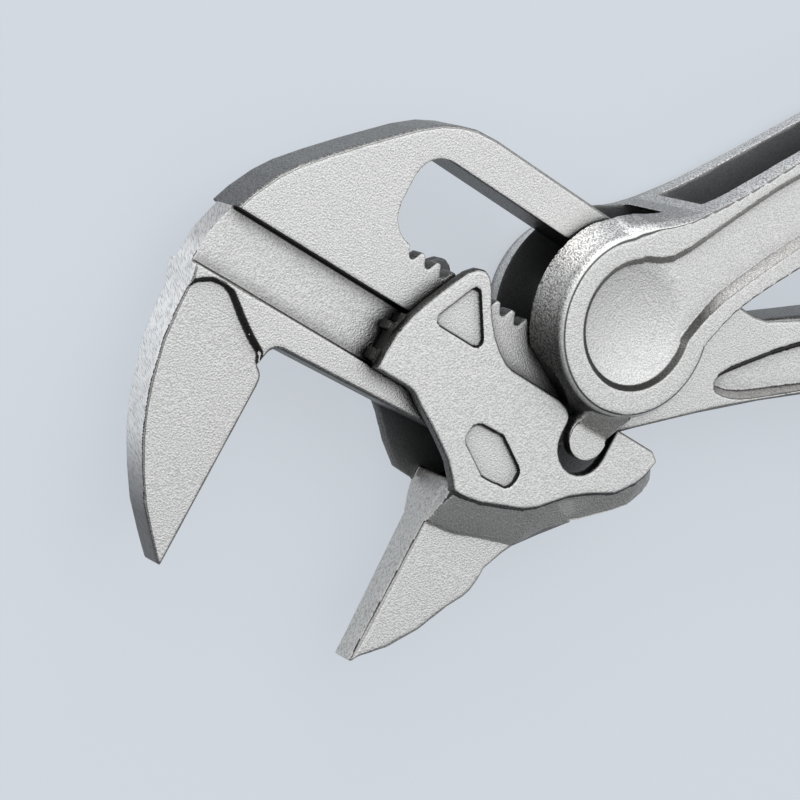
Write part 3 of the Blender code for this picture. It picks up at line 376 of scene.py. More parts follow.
@dataclass(frozen=True)
class BlastedChrome:
    """Matt chrome plating over a blasted forging with fine grain, and painted light and shade.

    The walls' painted shade and highlights follow their heading, from -Y at 0 to +Y at 1, and the
    outline, a dark line painted along rounded edges, follows the upright part of the normal, from
    the walls at 0 to the flats at 1. With far_walls and far_outline both change to those tones
    between two distances from the pivot axis.
    """

    name: str
    walls: Stops
    far_walls: Stops = ()
    far_between: Span = (6.5 * MM, 9.5 * MM)
    bowl: Bowl | None = None
    flat_from: float = 0.72
    flat_to: float = 0.96
    outline: Stops = ((0.84, 1.0), (0.9, 0.35), (0.955, 0.4), (0.985, 1.0))
    far_outline: Stops = ()
    face: Colour = (0.97, 0.97, 0.955)
    tint: Colour = (1.0, 0.98, 0.955)
    roughness: float = 0.4
    metallic: float = 1.0
    grain: float = 0.14 * MM
    grain_depth: float = 0.06 * MM
    speckle: float = 0.27
    speckle_between: Span = (0.35, 0.62)
    wall_speckle: float = 0.4
    wall_speckle_between: Span = (0.38, 0.55)
    # Painted shade in tight corners, and a broad soft painted shade beside raised parts
    crease_shades: tuple[CreaseShade, ...] = (TIGHT_SHADE, CreaseShade(2.5 * MM, 0.5, 1.0, 0.7))

    def material(self) -> bpy.types.Material:
        """Build the material.

        Returns:
            The material.
        """
        graph = Graph(self.name)
        upright = graph.compute("ABSOLUTE", graph.axis("Normal", "Z"))
        heading = graph.rescale(graph.axis("Normal", "Y"), -1, 1, 0, 1)
        flat = graph.rescale(upright, self.flat_from, self.flat_to, 0, 1)
        # Painted shade and highlights on the walls by their heading, and a painted dark edge line
        walls, edges = graph.ramp(heading, self.walls, self.tint), graph.ramp(upright, self.outline)
        if self.far_walls or self.far_outline:
            share = graph.rescale(graph.away(PIVOT), *self.far_between, 0, 1)
            far_walls = graph.ramp(heading, self.far_walls or self.walls, self.tint)
            walls = graph.blend(share, walls, far_walls)
            edges = graph.blend(share, edges, graph.ramp(upright, self.far_outline or self.outline))
        grain = graph.noise(self.grain)
        share = graph.rescale(grain, *self.wall_speckle_between, 1 - self.wall_speckle, 1)
        colour = graph.blend(flat, graph.shade(walls, share), self.face)
        # Darken by the painted edge line and the grain's specks, then by the painted crease shade
        shares = [edges, graph.rescale(grain, *self.speckle_between, 1 - self.speckle, 1)]
        for share in shares + [graph.crease_shades(crease) for crease in self.crease_shades]:
            colour = graph.shade(colour, share)
        relief = None
        if self.bowl:
            share = graph.rescale(graph.away(self.bowl.middle), 0, self.bowl.radius, 0, 1)
            relief = graph.bump(graph.compute("MULTIPLY", share, share), self.bowl.depth)
        relief = graph.bump(grain, self.grain_depth, relief)
        return graph.metal(colour, relief, self.roughness, self.metallic)


# Painted shade on the plate's walls, darkest where they face -Y
PLATE_CHROME = BlastedChrome("plate_chrome", ((0.0, 0.1), (0.5, 0.2), (1.0, 0.33)))
# Painted highlight on walls that face sideways, as on the eye's left shoulder, and painted shade
# on walls that face -Y or +Y; a dark painted edge line, broader far from the pivot
FORK_CHROME = BlastedChrome(
    "fork_chrome",
    ((0.0, 0.1), (0.2, 0.2), (0.27, 0.3), (0.41, 0.75), (0.6, 0.97), (0.78, 0.97), (0.88, 0.6),
     (0.95, 0.35), (1.0, 0.3)),
    far_between=(9.0 * MM, 10.5 * MM), flat_from=0.4, flat_to=0.8,
    outline=((0.8, 1.0), (0.88, 0.14), (0.955, 0.14), (0.985, 1.0)),
    far_outline=((0.4, 1.0), (0.55, 0.3), (0.955, 0.2), (0.985, 1.0)),
    roughness=0.46, wall_speckle=0.5, crease_shades=(TIGHT_SHADE,))
# Painted shade on the jaw's walls and slopes, and a broad painted shade beside raised parts
JAW_CHROME = BlastedChrome(
    "jaw_chrome", ((0.0, 0.2), (0.3, 0.15), (0.5, 0.1), (1.0, 0.12)),
    outline=((0.84, 1.0), (0.9, 0.8), (0.955, 0.5), (0.985, 1.0)), face=(1.0, 1.0, 0.985),
    crease_shades=(TIGHT_SHADE, CreaseShade(3.0 * MM, 0.5, 1.0, 0.72)))
# The fork's painted light and shade, over a bowl-shaped bump in the dish
DISH_CHROME = replace(
    FORK_CHROME, name="dish_chrome", bowl=Bowl((0.05 * MM, 0.25 * MM), 4.9 * MM, 0.35 * MM))
# Painted shade: dark faces inside the channel and between the cheeks, darker still deeper in
HOLLOW_SHADE_CHROME = BlastedChrome(
    "hollow_shade_chrome", ((0.0, 0.27), (1.0, 0.27)), outline=EVEN, face=(0.27, 0.275, 0.28), metallic=0.6,
    grain_depth=0.03 * MM, crease_shades=(CreaseShade(6.0 * MM, 0.34, 1.0, 0.42),))
# Painted shade: near-black walls in recesses and on steps, except those that face +Y
RECESS_SHADE_CHROME = BlastedChrome(
    "recess_shade_chrome", ((0.0, 0.07), (0.5, 0.06), (0.75, 0.12), (0.88, 0.85), (1.0, 0.85)),
    flat_from=0.955, flat_to=0.995, outline=EVEN, wall_speckle=0.15)
# Painted shade: near-black walls in the jaw's sockets
SOCKET_SHADE_CHROME = replace(
    RECESS_SHADE_CHROME, name="socket_shade_chrome", walls=((0.0, 0.14), (0.4, 0.05), (1.0, 0.05)))
# Painted shade: dark walls in the fork's sunk panel, darkest where they face +Y, lighter far from the
# pivot
PANEL_SHADE_CHROME = replace(
    RECESS_SHADE_CHROME, name="panel_shade_chrome", flat_from=0.93,
    walls=((0.0, 0.8), (0.33, 0.5), (0.5, 0.16), (0.7, 0.05), (1.0, 0.05)),
    far_walls=((0.0, 0.8), (0.33, 0.7), (0.6, 0.5), (1.0, 0.6)))
# Painted shadow: near-black ends of the guide ridges under the jaw cheek's tip
RIDGE_SHADOW_CHROME = replace(SOCKET_SHADE_CHROME, name="ridge_shadow_chrome", face=(0.16, 0.165, 0.165))
# Lighter, even painted shade on the guide's low step, with a fainter painted edge line
HAIRLINE_CHROME = replace(
    PLATE_CHROME, name="hairline_chrome", walls=((0.0, 0.5), (1.0, 0.5)),
    outline=((0.84, 1.0), (0.9, 0.8), (0.955, 0.8), (0.985, 1.0)))


@dataclass(frozen=True)
class GroundSteel:
    """Ground and plated face with marks across it, and painted shade between two places on Y."""

    name: str
    light: Colour
    dark: Colour
    across: Place
    tilt: float = 0.0
    mark: float = 0.08 * MM
    mark_between: Span = (0.4, 0.5)
    mark_depth: float = 0.05 * MM
    roughness: float = 0.42
    metallic: float = 1.0
    along: Span = (-1.0, 1.0)
    shade_along: Stops = EVEN

    def material(self) -> bpy.types.Material:
        """Build the material.

        Returns:
            The material.
        """
        graph = Graph(self.name)
        marks = graph.noise(self.mark, self.across, self.tilt)
        colour = graph.blend(graph.rescale(marks, *self.mark_between, 0, 1), self.dark, self.light)
        along = graph.rescale(graph.axis("Object", "Y"), *self.along, 0, 1)
        # Painted shade along Y
        colour = graph.shade(colour, graph.ramp(along, self.shade_along))
        return graph.metal(colour, graph.bump(marks, self.mark_depth), self.roughness, self.metallic)


# It also darkens towards the guide's end
# Painted shade: the outer edge darkest towards the tip, where it turns away from the light
EDGE_STEEL = GroundSteel(
    "ground_edge", (1.0, 0.99, 0.98), (0.6, 0.59, 0.58), (0.15, 1.0, 0.15), tilt=-35,
    mark_depth=0.012 * MM, metallic=0.15, along=(-36 * MM, -6 * MM),
    shade_along=((0.0, 0.12), (0.2, 0.16), (0.28, 0.45), (0.36, 0.92), (0.5, 1.0), (0.78, 1.0), (0.86, 0.6),
          (1.0, 0.4)))
GRIP_STEEL = GroundSteel("ground_grip", (0.75, 0.73, 0.7), (0.45, 0.44, 0.42), (1, 0.3, 1.2))


@dataclass(frozen=True)
class TurnedSteel:
    """Turned face with fine rings about the pivot axis and painted shade deep in the eye.

    The rings' wave runs through one radian over the way ring_radian, in metres.
    """

    name: str = "turned_steel"
    light: Colour = (0.85, 0.86, 0.87)
    dark: Colour = (0.6, 0.61, 0.62)
    ring_radian: float = 0.18 * MM
    waver: float = 0.3
    depth: float = 0.004 * MM
    roughness: float = 0.3
    # Painted shade deep in the eye
    deep: CreaseShade = CreaseShade(4.0 * MM, 0.35, 0.95, 0.45)

    def material(self) -> bpy.types.Material:
        """Build the material.

        Returns:
            The material.
        """
        graph = Graph(self.name)
        scale = 1 / (self.ring_radian * WAVE_RADIANS)
        rings = graph.node("ShaderNodeTexWave", Scale=scale, Distortion=self.waver)
        rings.wave_type = "RINGS"
        rings.rings_direction = "Z"
        graph.link(graph.place.outputs["Object"], rings.inputs["Vector"])
        colour = graph.blend(rings.outputs["Fac"], self.dark, self.light)
        colour = graph.shade(colour, graph.crease_shades(self.deep))
        return graph.metal(colour, graph.bump(rings.outputs["Fac"], self.depth), self.roughness)


@dataclass(frozen=True)
class SpringSteel:
    """Dark oiled steel of the spring and the ring, with streaks that are lighter by a factor."""

    name: str = "spring_wire"
    colour: Colour = (0.22, 0.23, 0.25)
    lighter: float = 1.3
    roughness: float = 0.3
    streak: float = 0.2 * MM

    def material(self) -> bpy.types.Material:
        """Build the material.

        Returns:
            The material.
        """
        graph = Graph(self.name)
        tone = graph.rescale(graph.noise(self.streak), *NOISE_SPAN, 0, 1)
        light = tuple(channel * self.lighter for channel in self.colour)
        graph.link(graph.blend(tone, self.colour, light), graph.shader.inputs["Base Color"])
        graph.shader.inputs["Metallic"].default_value = 1
        graph.shader.inputs["Roughness"].default_value = self.roughness
        return graph.material


# Bench work: shared ways to make a piece


def choose(item: bpy.types.Object) -> None:
    """Select one object alone and make it active.

    Args:
        item: The object.
    """
    bpy.ops.object.select_all(action="DESELECT")
    item.select_set(True)
    bpy.context.view_layer.objects.active = item


def work(item: bpy.types.Object, kind: str, **settings: object) -> None:
    """Put a modifier on a piece and apply it.

    Args:
        item: The piece.
        kind: Blender's type name of the modifier.
        **settings: The modifier's settings.
    """
    choose(item)
    modifier = item.modifiers.new(kind.lower(), kind)
    for name, value in settings.items():
        setattr(modifier, name, value)
    bpy.ops.object.modifier_apply(modifier=modifier.name)


def blank(node: str, name: str) -> bpy.types.Object:
    """Copy one of the frame's solids and merge its loose triangles.

    Args:
        node: Name of the solid.
        name: Name of the new piece.

    Returns:
        The new piece, with no material.
    """
    item = bpy.data.objects.new(name, frame["nodes"][node].data.copy())
    bpy.context.scene.collection.objects.link(item)
    item.data.materials.clear()
    choose(item)
    bpy.ops.object.mode_set(mode="EDIT")
    bpy.ops.mesh.select_all(action="SELECT")
    bpy.ops.mesh.remove_doubles(threshold=MERGE_REACH)
    bpy.ops.object.mode_set(mode="OBJECT")
    bpy.ops.mesh.customdata_custom_splitnormals_clear()
    return item


def paint(item: bpy.types.Object, finish: bpy.types.Material, test: FaceTest | None = None,
          close: int = 0) -> None:
    """Give a finish to a piece's faces.

    Args:
        item: The piece.
        finish: The material.
        test: Picks the faces from arrays of their middles and normals; all of them if left out.
        close: Number of rings of faces over which gaps in the pick are closed.
    """
    item.data.materials.append(finish)
    if test is None:
        return
    count = len(item.data.polygons)
    middles, normals = np.empty(count * 3), np.empty(count * 3)
    item.data.polygons.foreach_get("center", middles)
    item.data.polygons.foreach_get("normal", normals)
    picked = test(middles.reshape(-1, 3), normals.reshape(-1, 3))
    choose(item)
    bpy.ops.object.mode_set(mode="EDIT")
    bpy.ops.mesh.select_mode(type="FACE")
    bpy.ops.mesh.select_all(action="DESELECT")
    bpy.ops.object.mode_set(mode="OBJECT")
    item.data.polygons.foreach_set("select", picked)
    bpy.ops.object.mode_set(mode="EDIT")
    for step in [bpy.ops.mesh.select_more] * close + [bpy.ops.mesh.select_less] * close:
        step()
    item.active_material_index = len(item.data.materials) - 1
    bpy.ops.object.material_slot_assign()
    bpy.ops.object.mode_set(mode="OBJECT")


@dataclass(frozen=True)
class RecessWalls:
    """Picks the steep faces that have a floor of the same piece at their foot.

    A wall lies within the reach of the piece's front or back face. Its floor is looked for one
    step away from it, from the depth above its middle down to as far below.
    """

    item: bpy.types.Object
    steepest_flat: float
    reach: float
    step: float = 0.8 * MM
    depth: float = 0.9 * MM

    def __call__(self, middles: np.ndarray, normals: np.ndarray) -> np.ndarray:
        """Test all faces of the piece.

        Args:
            middles: Middles of the faces.
            normals: Normals of the faces.

        Returns:
            An array that is true for the walls of recesses and steps.
        """
        back, front = middles[:, 2].min(), middles[:, 2].max()
        waist = (back + front) / 2
        shallow = np.minimum(middles[:, 2] - back, front - middles[:, 2]) < self.reach
        found = np.zeros(len(middles), dtype=bool)
        for index in np.flatnonzero(shallow & (np.abs(normals[:, 2]) < self.steepest_flat)):
            up = Vector((0, 0, 1 if middles[index][2] > waist else -1))
            out = Vector((normals[index][0], normals[index][1], 0)).normalized()
            start = Vector(middles[index]) + out * self.step + up * self.depth
            hit, _, facing, _ = self.item.ray_cast(start, -up, distance=2 * self.depth)
            found[index] = hit and facing.dot(up) > 0
        return found


@dataclass(frozen=True)
class GrippingFace:
    """Picks the flat face of a jaw that holds the work.

    It stands at a place on X, heads to +X or -X and begins below a place on Y.
    """

    place: float
    heading: int
    top: float
    reach: float = 0.15 * MM
    squareness: float = 0.8

    def __call__(self, middles: np.ndarray, normals: np.ndarray) -> np.ndarray:
        """Test all faces of the piece from their middles and normals."""
        near = np.abs(middles[:, 0] - self.place) < self.reach
        return near & (normals[:, 0] * self.heading > self.squareness) & (middles[:, 1] < self.top)


def inner_faces(middles: np.ndarray, normals: np.ndarray) -> np.ndarray:
    """Pick the level faces that look at the middle plane, as inside a channel or between two cheeks."""
    waist = (middles[:, 2].min() + middles[:, 2].max()) / 2
    return (np.abs(normals[:, 2]) > LEVEL) & (normals[:, 2] * (waist - middles[:, 2]) > 0)


@dataclass
class Piece:
    """A piece that takes the place of one of the frame's solids."""

    node: str
    body: Body
    slot: Slot

    def seat(self, item: bpy.types.Object) -> None:
        """Shade a finished piece, let it ride on its body and put it in its solid's place.

        Args:
            item: The piece.
        """
        choose(item)
        bpy.ops.object.shade_smooth_by_angle(angle=math.radians(SMOOTH_ANGLE))
        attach(item, self.body.value)
        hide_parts(self.node)


@dataclass(frozen=True)
class Fillet:
    """Round zone where a forging's forms run softly into each other.

    The smoothing has its full strength over the share core of the reach and fades out from there.
    """

    middle: Place
    reach: float
    passes: int
    core: float = 0.5

    def blend(self, item: bpy.types.Object) -> None:
        """Smooth the piece's skin in the zone.

        Args:
            item: The piece.
        """
        zone = item.vertex_groups.new(name="fillet")
        for vertex in item.data.vertices:
            share = 1 - math.dist(vertex.co, self.middle) / self.reach
            if share > 0:
                zone.add([vertex.index], min(share / self.core, 1), "REPLACE")
        work(item, "SMOOTH", factor=SMOOTH_FACTOR, iterations=self.passes, vertex_group=zone.name)
        item.vertex_groups.clear()


@dataclass
class Forging(Piece):
    """A forged piece: the frame's solid, with the soft edges that forging and blasting leave."""

    slot: Slot = Slot.CHROME
    chrome: BlastedChrome = PLATE_CHROME
    recess_shade: BlastedChrome = RECESS_SHADE_CHROME
    recess_reach: float = 6.0 * MM
    # Whether the faces inside its hollows get painted shade
    hollow: bool = False
    steepest_flat: float = 0.96
    voxel: float = 0.11 * MM
    soften: int = 5
    triangles: int = 190_000
    fillets: tuple[Fillet, ...] = ()

    def forge(self) -> bpy.types.Object:
        """Skin the solid anew with even faces and soften its edges.

        Returns:
            The new piece.
        """
        item = blank(self.node, self.node + "_forging")
        work(item, "REMESH", mode="VOXEL", voxel_size=self.voxel)
        work(item, "SMOOTH", factor=SMOOTH_FACTOR, iterations=self.soften)
        self.carve(item)
        for fillet in self.fillets:
            fillet.blend(item)
        count = sum(len(face.vertices) - 2 for face in item.data.polygons)
        if count > self.triangles:
            work(item, "DECIMATE", ratio=self.triangles / count)
        return item

    def carve(self, item: bpy.types.Object) -> None:
        """Move the skin where the forging has a form finer than its solid; most have none."""

    def plate(self, item: bpy.types.Object) -> None:
        """Give a forging its chrome, with painted shade in its hollows and on the walls of its recesses.

        Args:
            item: The piece.
        """
        paint(item, self.chrome.material())
        # Painted shade on the faces inside its hollows
        if self.hollow:
            paint(item, HOLLOW_SHADE_CHROME.material(), inner_faces, close=2)
        # Painted shade on the walls of its recesses and steps
        walls = RecessWalls(item, self.steepest_flat, self.recess_reach)
        paint(item, self.recess_shade.material(), walls, close=2)


# The forgings

# The guide's left end, and the leaf of the fixed jaw under it
MAIN_FILLETS = (
    Fillet((-31.0 * MM, -13.2 * MM, 7.1 * MM), 2.2 * MM, 10),
    Fillet((-28.4 * MM, -16.2 * MM, 7.2 * MM), 4.0 * MM, 12),
)


@dataclass
class MainLever(Forging):
    """Plate with the fixed jaw, the guide, the rack and the inner handle."""

    node: str = "main_lever"
    body: Body = Body.LEVER
    guide_bottom: float = -12.7 * MM
    guide_top: float = -7.8 * MM
    fillets: tuple[Fillet, ...] = MAIN_FILLETS
    lip_reach: float = 0.25 * MM
    lip_level: float = 6.9 * MM
    edge_heading: float = 0.45
    edge_level: float = 0.6
    gripping_face: GrippingFace = GrippingFace(-25.5 * MM, 1, -18 * MM)

    def build(self) -> bpy.types.Object:
        """Make the piece and finish its ground edge and gripping face.

        Returns:
            The piece.
        """
        item = self.forge()
        self.plate(item)
        # Lighter painted shade on the low step along the guide's lower edge
        paint(item, HAIRLINE_CHROME.material(), self.guide_lip)
        # The outer edge's ground finish, with painted shade along it
        paint(item, EDGE_STEEL.material(), self.outer_edge)
        paint(item, GRIP_STEEL.material(), self.gripping_face)
        self.seat(item)
        return item

    def guide_lip(self, middles: np.ndarray, normals: np.ndarray) -> np.ndarray:
        """Pick the low step along the guide's lower edge."""
        near = np.abs(middles[:, 1] - self.guide_bottom) < self.lip_reach
        return near & (middles[:, 2] > self.lip_level)

    def outer_edge(self, middles: np.ndarray, normals: np.ndarray) -> np.ndarray:
        """Pick the outer edge of the fixed jaw, from the guide's end down to the tip."""
        steep = (normals[:, 0] < -self.edge_heading) & (np.abs(normals[:, 2]) < self.edge_level)
        return steep & (middles[:, 1] < self.guide_top)


# The shoulder between the eye and the handle, and the neck between the eye and the nose
FORK_FILLETS = (
    Fillet((-4.2 * MM, 6.6 * MM, 9.7 * MM), 2.6 * MM, 60),
    Fillet((1.8 * MM, -7.8 * MM, 9.1 * MM), 2.4 * MM, 40),
)


@dataclass
class ForkLever(Forging):
    """Fork with its two cheeks, the blind eye, the noses and the outer channel handle."""

    node: str = "fork_lever"
    body: Body = Body.FORK
    chrome: BlastedChrome = FORK_CHROME
    recess_shade: BlastedChrome = PANEL_SHADE_CHROME
    hollow: bool = True
    dish_radius: float = 5.25 * MM
    lip_width: float = 0.5 * MM
    lip_depth: float = 0.36 * MM
    bowl_depth: float = 0.3 * MM
    wall_below: float = 0.5 * MM
    eye_middle: Spot = (0.1 * MM, 0.15 * MM)
    rim_radius: float = 6.7 * MM
    wall_radius: float = 7.35 * MM
    base_radius: float = 8.2 * MM
    shoulder: float = 0.8 * MM
    cheek: float = 2.9 * MM
    facet: float = 0.09 * MM
    fillets: tuple[Fillet, ...] = FORK_FILLETS

    def build(self) -> bpy.types.Object:
        """Make and finish the piece.

        Returns:
            The piece.
        """
        item = self.forge()
        self.plate(item)
        paint(item, DISH_CHROME.material(), self.dish_faces)
        self.seat(item)
        return item

    def dish_faces(self, middles: np.ndarray, normals: np.ndarray) -> np.ndarray:
        """Pick the floor of the front dish.

        Args:
            middles: Middles of the faces.
            normals: Normals of the faces.

        Returns:
            An array that is true for the faces of the floor.
        """
        bowl = DISH_CHROME.bowl
        away = np.hypot(middles[:, 0] - bowl.middle[0], middles[:, 1] - bowl.middle[1])
        lowest = middles[:, 2].max() - self.lip_depth - self.bowl_depth - self.facet
        return (away < bowl.radius) & (middles[:, 2] > lowest) & (normals[:, 2] > self.steepest_flat)

    def carve(self, item: bpy.types.Object) -> None:
        """Give the front dish its smooth lip and even bowl, and the eye its round wall.

        Args:
            item: The piece.
        """
        back, front = (corner[2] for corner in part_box(self.node))
        foot = self.dish_radius - self.lip_width
        for vertex in item.data.vertices:
            place = vertex.co
            away = math.dist(place[:2], DISH_CHROME.bowl.middle)
            if away < self.dish_radius and place.z > front - self.wall_below:
                share = min((self.dish_radius - away) / self.lip_width, 1)
                lip = self.lip_depth * share * share * (3 - 2 * share)
                bowl = self.bowl_depth * max(1 - (away / foot) ** 2, 0)
                place.z = min(place.z, front - lip - bowl)
            away = math.dist(place[:2], self.eye_middle)
            round_wall = self.eye_radius(min(front - place.z, place.z - back))
            if abs(away - round_wall) < self.facet:
                for axis, middle in enumerate(self.eye_middle):
                    place[axis] = middle + (place[axis] - middle) * round_wall / away

    def eye_radius(self, depth: float) -> float:
        """Radius of the eye's outer wall at a depth below its face.

        Args:
            depth: Depth in metres.

        Returns:
            The radius, or 0 below the cheek.
        """
        if depth > self.cheek:
            return 0.0
        if depth > self.shoulder:
            share = (depth - self.shoulder) / (self.cheek - self.shoulder)
            return self.wall_radius + (self.base_radius - self.wall_radius) * share
        rise = 1 - max(depth, 0) / self.shoulder
        return self.rim_radius + (self.wall_radius - self.rim_radius) * math.sqrt(1 - rise * rise)


# The corner of each cheek beside the fork's nose
JAW_FILLETS = (
    Fillet((-1.0 * MM, -7.65 * MM, 8.35 * MM), 1.0 * MM, 45),
    Fillet((-1.0 * MM, -7.65 * MM, 2.3 * MM), 1.0 * MM, 45),
)


@dataclass
class SlidingJaw(Forging):
    """Jaw that runs on the guide: cheeks, flared body and blade.

    The belly holds the blade's widening: pairs of the way down from the pivot in millimetres and
    the factor on the width there.
    """

    node: str = "sliding_jaw"
    body: Body = Body.JAW
    chrome: BlastedChrome = JAW_CHROME
    recess_shade: BlastedChrome = SOCKET_SHADE_CHROME
    recess_reach: float = 1.3 * MM
    fillets: tuple[Fillet, ...] = JAW_FILLETS
    hollow: bool = True
    steepest_flat: float = 0.85
    belly: Stops = ((20.0, 1.0), (20.7, 1.01), (21.75, 1.03), (22.7, 1.12), (23.5, 1.19),
                    (24.4, 1.29), (25.1, 1.35), (25.9, 1.43), (27.2, 1.49), (28.3, 1.57), (29.6, 1.6),
                    (30.65, 1.66), (31.7, 1.5), (32.3, 1.15), (32.8, 1.0))
    ridge_end: float = -17.6 * MM
    ridge_bottom: float = -13.2 * MM
    ridge_level: float = 8.1 * MM
    gripping_face: GrippingFace = GrippingFace(-6.9 * MM, -1, -17 * MM)

    def build(self) -> bpy.types.Object:
        """Make the piece and finish its gripping face.

        Returns:
            The piece.
        """
        item = self.forge()
        self.plate(item)
        paint(item, replace(GRIP_STEEL, name="sliding_grip").material(), self.gripping_face)
        # Painted shadow on the ridge ends under the cheek's tip
        paint(item, RIDGE_SHADOW_CHROME.material(), self.ridge_ends)
        self.seat(item)
        return item

    def carve(self, item: bpy.types.Object) -> None:
        """Widen the blade to its full curve, away from its gripping face.

        Args:
            item: The piece.
        """
        heights, widths = zip(*self.belly)
        face = self.gripping_face.place
        for vertex in item.data.vertices:
            if vertex.co.x > face:
                wider = float(np.interp(-vertex.co.y / MM, heights, widths))
                vertex.co.x = face + (vertex.co.x - face) * wider

    def ridge_ends(self, middles: np.ndarray, normals: np.ndarray) -> np.ndarray:
        """Pick the ends of the guide ridges under the cheek's left tip."""
        left = (middles[:, 0] < self.ridge_end) & (middles[:, 1] > self.ridge_bottom)
        return left & (middles[:, 2] < self.ridge_level)


@dataclass
class PivotBolt(Forging):
    """Push-button bolt with its teeth."""

    node: str = "pivot_bolt"
    body: Body = Body.BOLT
    slot: Slot = Slot.GROUND
    voxel: float = 0.07 * MM
    soften: int = 2
    triangles: int = 90_000

    def build(self) -> bpy.types.Object:
        """Make and finish the piece.

        Returns:
            The piece.
        """
        item = self.forge()
        paint(item, TurnedSteel().material())
        self.seat(item)
        return item


# Small hardware


@dataclass
class RetainingRing(Piece):
    """Open snap ring behind the bolt's shoulder."""

    node: str = "retaining_ring"
    body: Body = Body.CARRIAGE
    slot: Slot = Slot.SPRING
    edge: float = 0.06 * MM
    edge_faces: int = 2

    def build(self, wire: bpy.types.Material) -> bpy.types.Object:
        """Break the ring's edges and finish it.

        Args:
            wire: The ring's finish.

        Returns:
            The piece.
        """
        item = blank(self.node, "snap_ring")
        work(item, "BEVEL", width=self.edge, segments=self.edge_faces, limit_method="ANGLE")
        paint(item, wire)
        self.seat(item)
        return item


@dataclass
class BoltSpring(Piece):
    """Compression spring between the bolt and the blind eye; it shortens as the button goes in."""

    node: str = "bolt_spring"
    body: Body = Body.CARRIAGE
    slot: Slot = Slot.SPRING
    joint: str = "button_press"
    fixed_end: float = 9.7 * MM
    travel: float = 1.45 * MM

    def build(self, wire: bpy.types.Material) -> bpy.types.Object:
        """Finish the spring.

        Args:
            wire: The spring's finish.

        Returns:
            The piece.
        """
        item = blank(self.node, "coil_spring")
        paint(item, wire)
        self.seat(item)
        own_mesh(item)
        return item


# Studio


@dataclass(frozen=True)
class Softbox:
    """A square soft lamp that faces the tool."""

    name: str
    direction: Place
    distance: float
    size: float
    brightness: float
    colour: Colour = (1.0, 1.0, 1.0)

    def hang(self, centre: Vector) -> None:
        """Hang the lamp at its distance from a place and turn it to that place.

        Args:
            centre: The place that it lights.
        """
        lamp = bpy.data.lights.new(self.name, "AREA")
        lamp.size = self.size
        lamp.energy = self.brightness * math.pi * self.size ** 2
        lamp.color = self.colour
        item = bpy.data.objects.new(self.name, lamp)
        bpy.context.scene.collection.objects.link(item)
        out = Vector(self.direction).normalized()
        item.location = centre + out * self.distance
        item.rotation_mode = "QUATERNION"
        item.rotation_quaternion = (-out).to_track_quat("-Z", "Y")


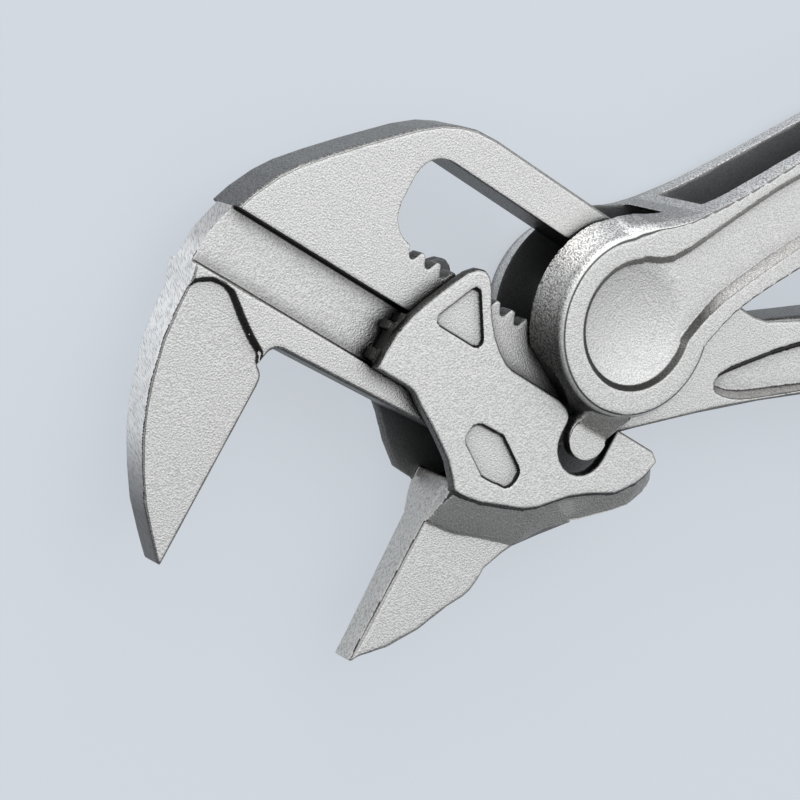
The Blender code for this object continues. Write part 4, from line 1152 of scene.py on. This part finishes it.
@dataclass(frozen=True)
class Studio:
    """Pale floor, soft lamps and the photograph's camera.

    The floor shows its look to the camera for the share floor_glow, and lights the tool with its
    colour. The sky's strength swings about its level with the way to sky_towards, and is held
    between its least and its most.
    """

    floor_size: float = 3.0
    floor_look: Colour = (0.675, 0.718, 0.772)
    floor_colour: Colour = (0.72, 0.765, 0.82)
    floor_glow: float = 0.7
    floor_patch: float = 0.4
    floor_darker: float = 0.985
    floor_roughness: float = 0.95
    floor_shine: float = 0.1
    sky: Colour = (0.99, 1.0, 1.01)
    sky_towards: Place = (-0.35, 0.8, 0.45)
    sky_level: float = 0.53
    sky_swing: float = 0.83
    sky_least: float = 0.16
    sky_most: float = 1.05
    lamps: tuple[Softbox, ...] = (
        Softbox("back_softbox", (-0.06, 0.57, 0.66), 0.5, 0.34, 0.35),
        Softbox("rim_softbox", (-0.5, 0.8, 0.14), 0.5, 0.3, 3.0),
    )
    eye: Place = (-0.1241, -0.0298, 0.1706)
    forward: Place = (0.5563074, 0.0811594, -0.8270038)
    up: Place = (-0.4212916, 0.8853807, -0.1965054)
    sensor: float = 36.0
    focal_pixels: float = 2643.34
    picture_pixels: float = 800.0

    def camera(self) -> None:
        """Stand the camera where the photograph was taken."""
        lens = bpy.data.cameras.new("photo_camera")
        lens.sensor_width = self.sensor
        lens.lens = self.sensor * self.focal_pixels / self.picture_pixels
        lens.clip_start = MM
        item = bpy.data.objects.new("photo_camera", lens)
        bpy.context.scene.collection.objects.link(item)
        ahead = Vector(self.forward).normalized()
        right = ahead.cross(Vector(self.up)).normalized()
        basis = Matrix((right, right.cross(ahead), -ahead)).transposed()
        item.matrix_world = Matrix.Translation(Vector(self.eye)) @ basis.to_4x4()
        bpy.context.scene.camera = item

    def floor(self) -> None:
        """Lay the pale floor that the tool rests on; it keeps a faint shadow."""
        bpy.ops.object.select_all(action="DESELECT")
        bpy.ops.mesh.primitive_plane_add(size=self.floor_size)
        item = bpy.context.active_object
        item.name = "studio_floor"
        graph = Graph("studio_paper")
        tone = graph.rescale(graph.noise(self.floor_patch), *NOISE_SPAN, 0, 1)
        darker = tuple(channel * self.floor_darker for channel in self.floor_colour)
        graph.link(graph.blend(tone, darker, self.floor_colour), graph.shader.inputs["Base Color"])
        graph.shader.inputs["Roughness"].default_value = self.floor_roughness
        graph.shader.inputs["Specular IOR Level"].default_value = self.floor_shine
        glow = graph.node("ShaderNodeEmission", Color=(*self.floor_look, 1))
        path = graph.tree.nodes.new("ShaderNodeLightPath")
        seen = graph.compute("MAXIMUM", path.outputs["Is Camera Ray"], path.outputs["Is Glossy Ray"])
        seen = graph.compute("MAXIMUM", seen, path.outputs["Is Transmission Ray"])
        both = graph.node("ShaderNodeMixShader")
        graph.link(graph.compute("MULTIPLY", seen, self.floor_glow), both.inputs[0])
        graph.link(graph.shader.outputs[0], both.inputs[1])
        graph.link(glow.outputs[0], both.inputs[2])
        output = graph.tree.nodes["Material Output"]
        graph.link(both.outputs[0], output.inputs["Surface"])
        item.data.materials.append(graph.material)

    def light(self) -> None:
        """Hang the lamps and set the sky, brighter behind the tool's left shoulder."""
        for lamp in self.lamps:
            lamp.hang(Vector((0, 0, 0)))
        world = bpy.data.worlds.new("studio_sky")
        world.use_nodes = True
        tree = world.node_tree
        back = tree.nodes["Background"]
        back.inputs["Color"].default_value = (*self.sky, 1)
        place = tree.nodes.new("ShaderNodeTexCoord")
        towards = tree.nodes.new("ShaderNodeVectorMath")
        towards.operation = "DOT_PRODUCT"
        towards.inputs[1].default_value = self.sky_towards
        level, least, most = (tree.nodes.new("ShaderNodeMath") for _ in range(3))
        level.operation, least.operation, most.operation = "MULTIPLY_ADD", "MAXIMUM", "MINIMUM"
        level.inputs[1].default_value = self.sky_swing
        level.inputs[2].default_value = self.sky_level
        least.inputs[1].default_value = self.sky_least
        most.inputs[1].default_value = self.sky_most
        tree.links.new(place.outputs["Generated"], towards.inputs[0])
        tree.links.new(towards.outputs["Value"], level.inputs[0])
        tree.links.new(level.outputs[0], least.inputs[0])
        tree.links.new(least.outputs[0], most.inputs[0])
        tree.links.new(most.outputs[0], back.inputs["Strength"])
        bpy.context.scene.world = world
        bpy.context.scene.view_settings.view_transform = "Standard"

    def build(self) -> None:
        """Set up camera, floor and light."""
        self.camera()
        self.floor()
        self.light()


def main() -> None:
    """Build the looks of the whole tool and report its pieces."""
    logging.basicConfig(level=logging.INFO, format="%(message)s")
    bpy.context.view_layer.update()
    Studio().build()
    wire = SpringSteel().material()
    items = (MainLever().build(), ForkLever().build(), SlidingJaw().build(), PivotBolt().build(),
             RetainingRing().build(wire), BoltSpring().build(wire))
    for item in items:
        LOG.info("%s: %d faces", item.name, len(item.data.polygons))


if __name__ == "__main__":
    main()
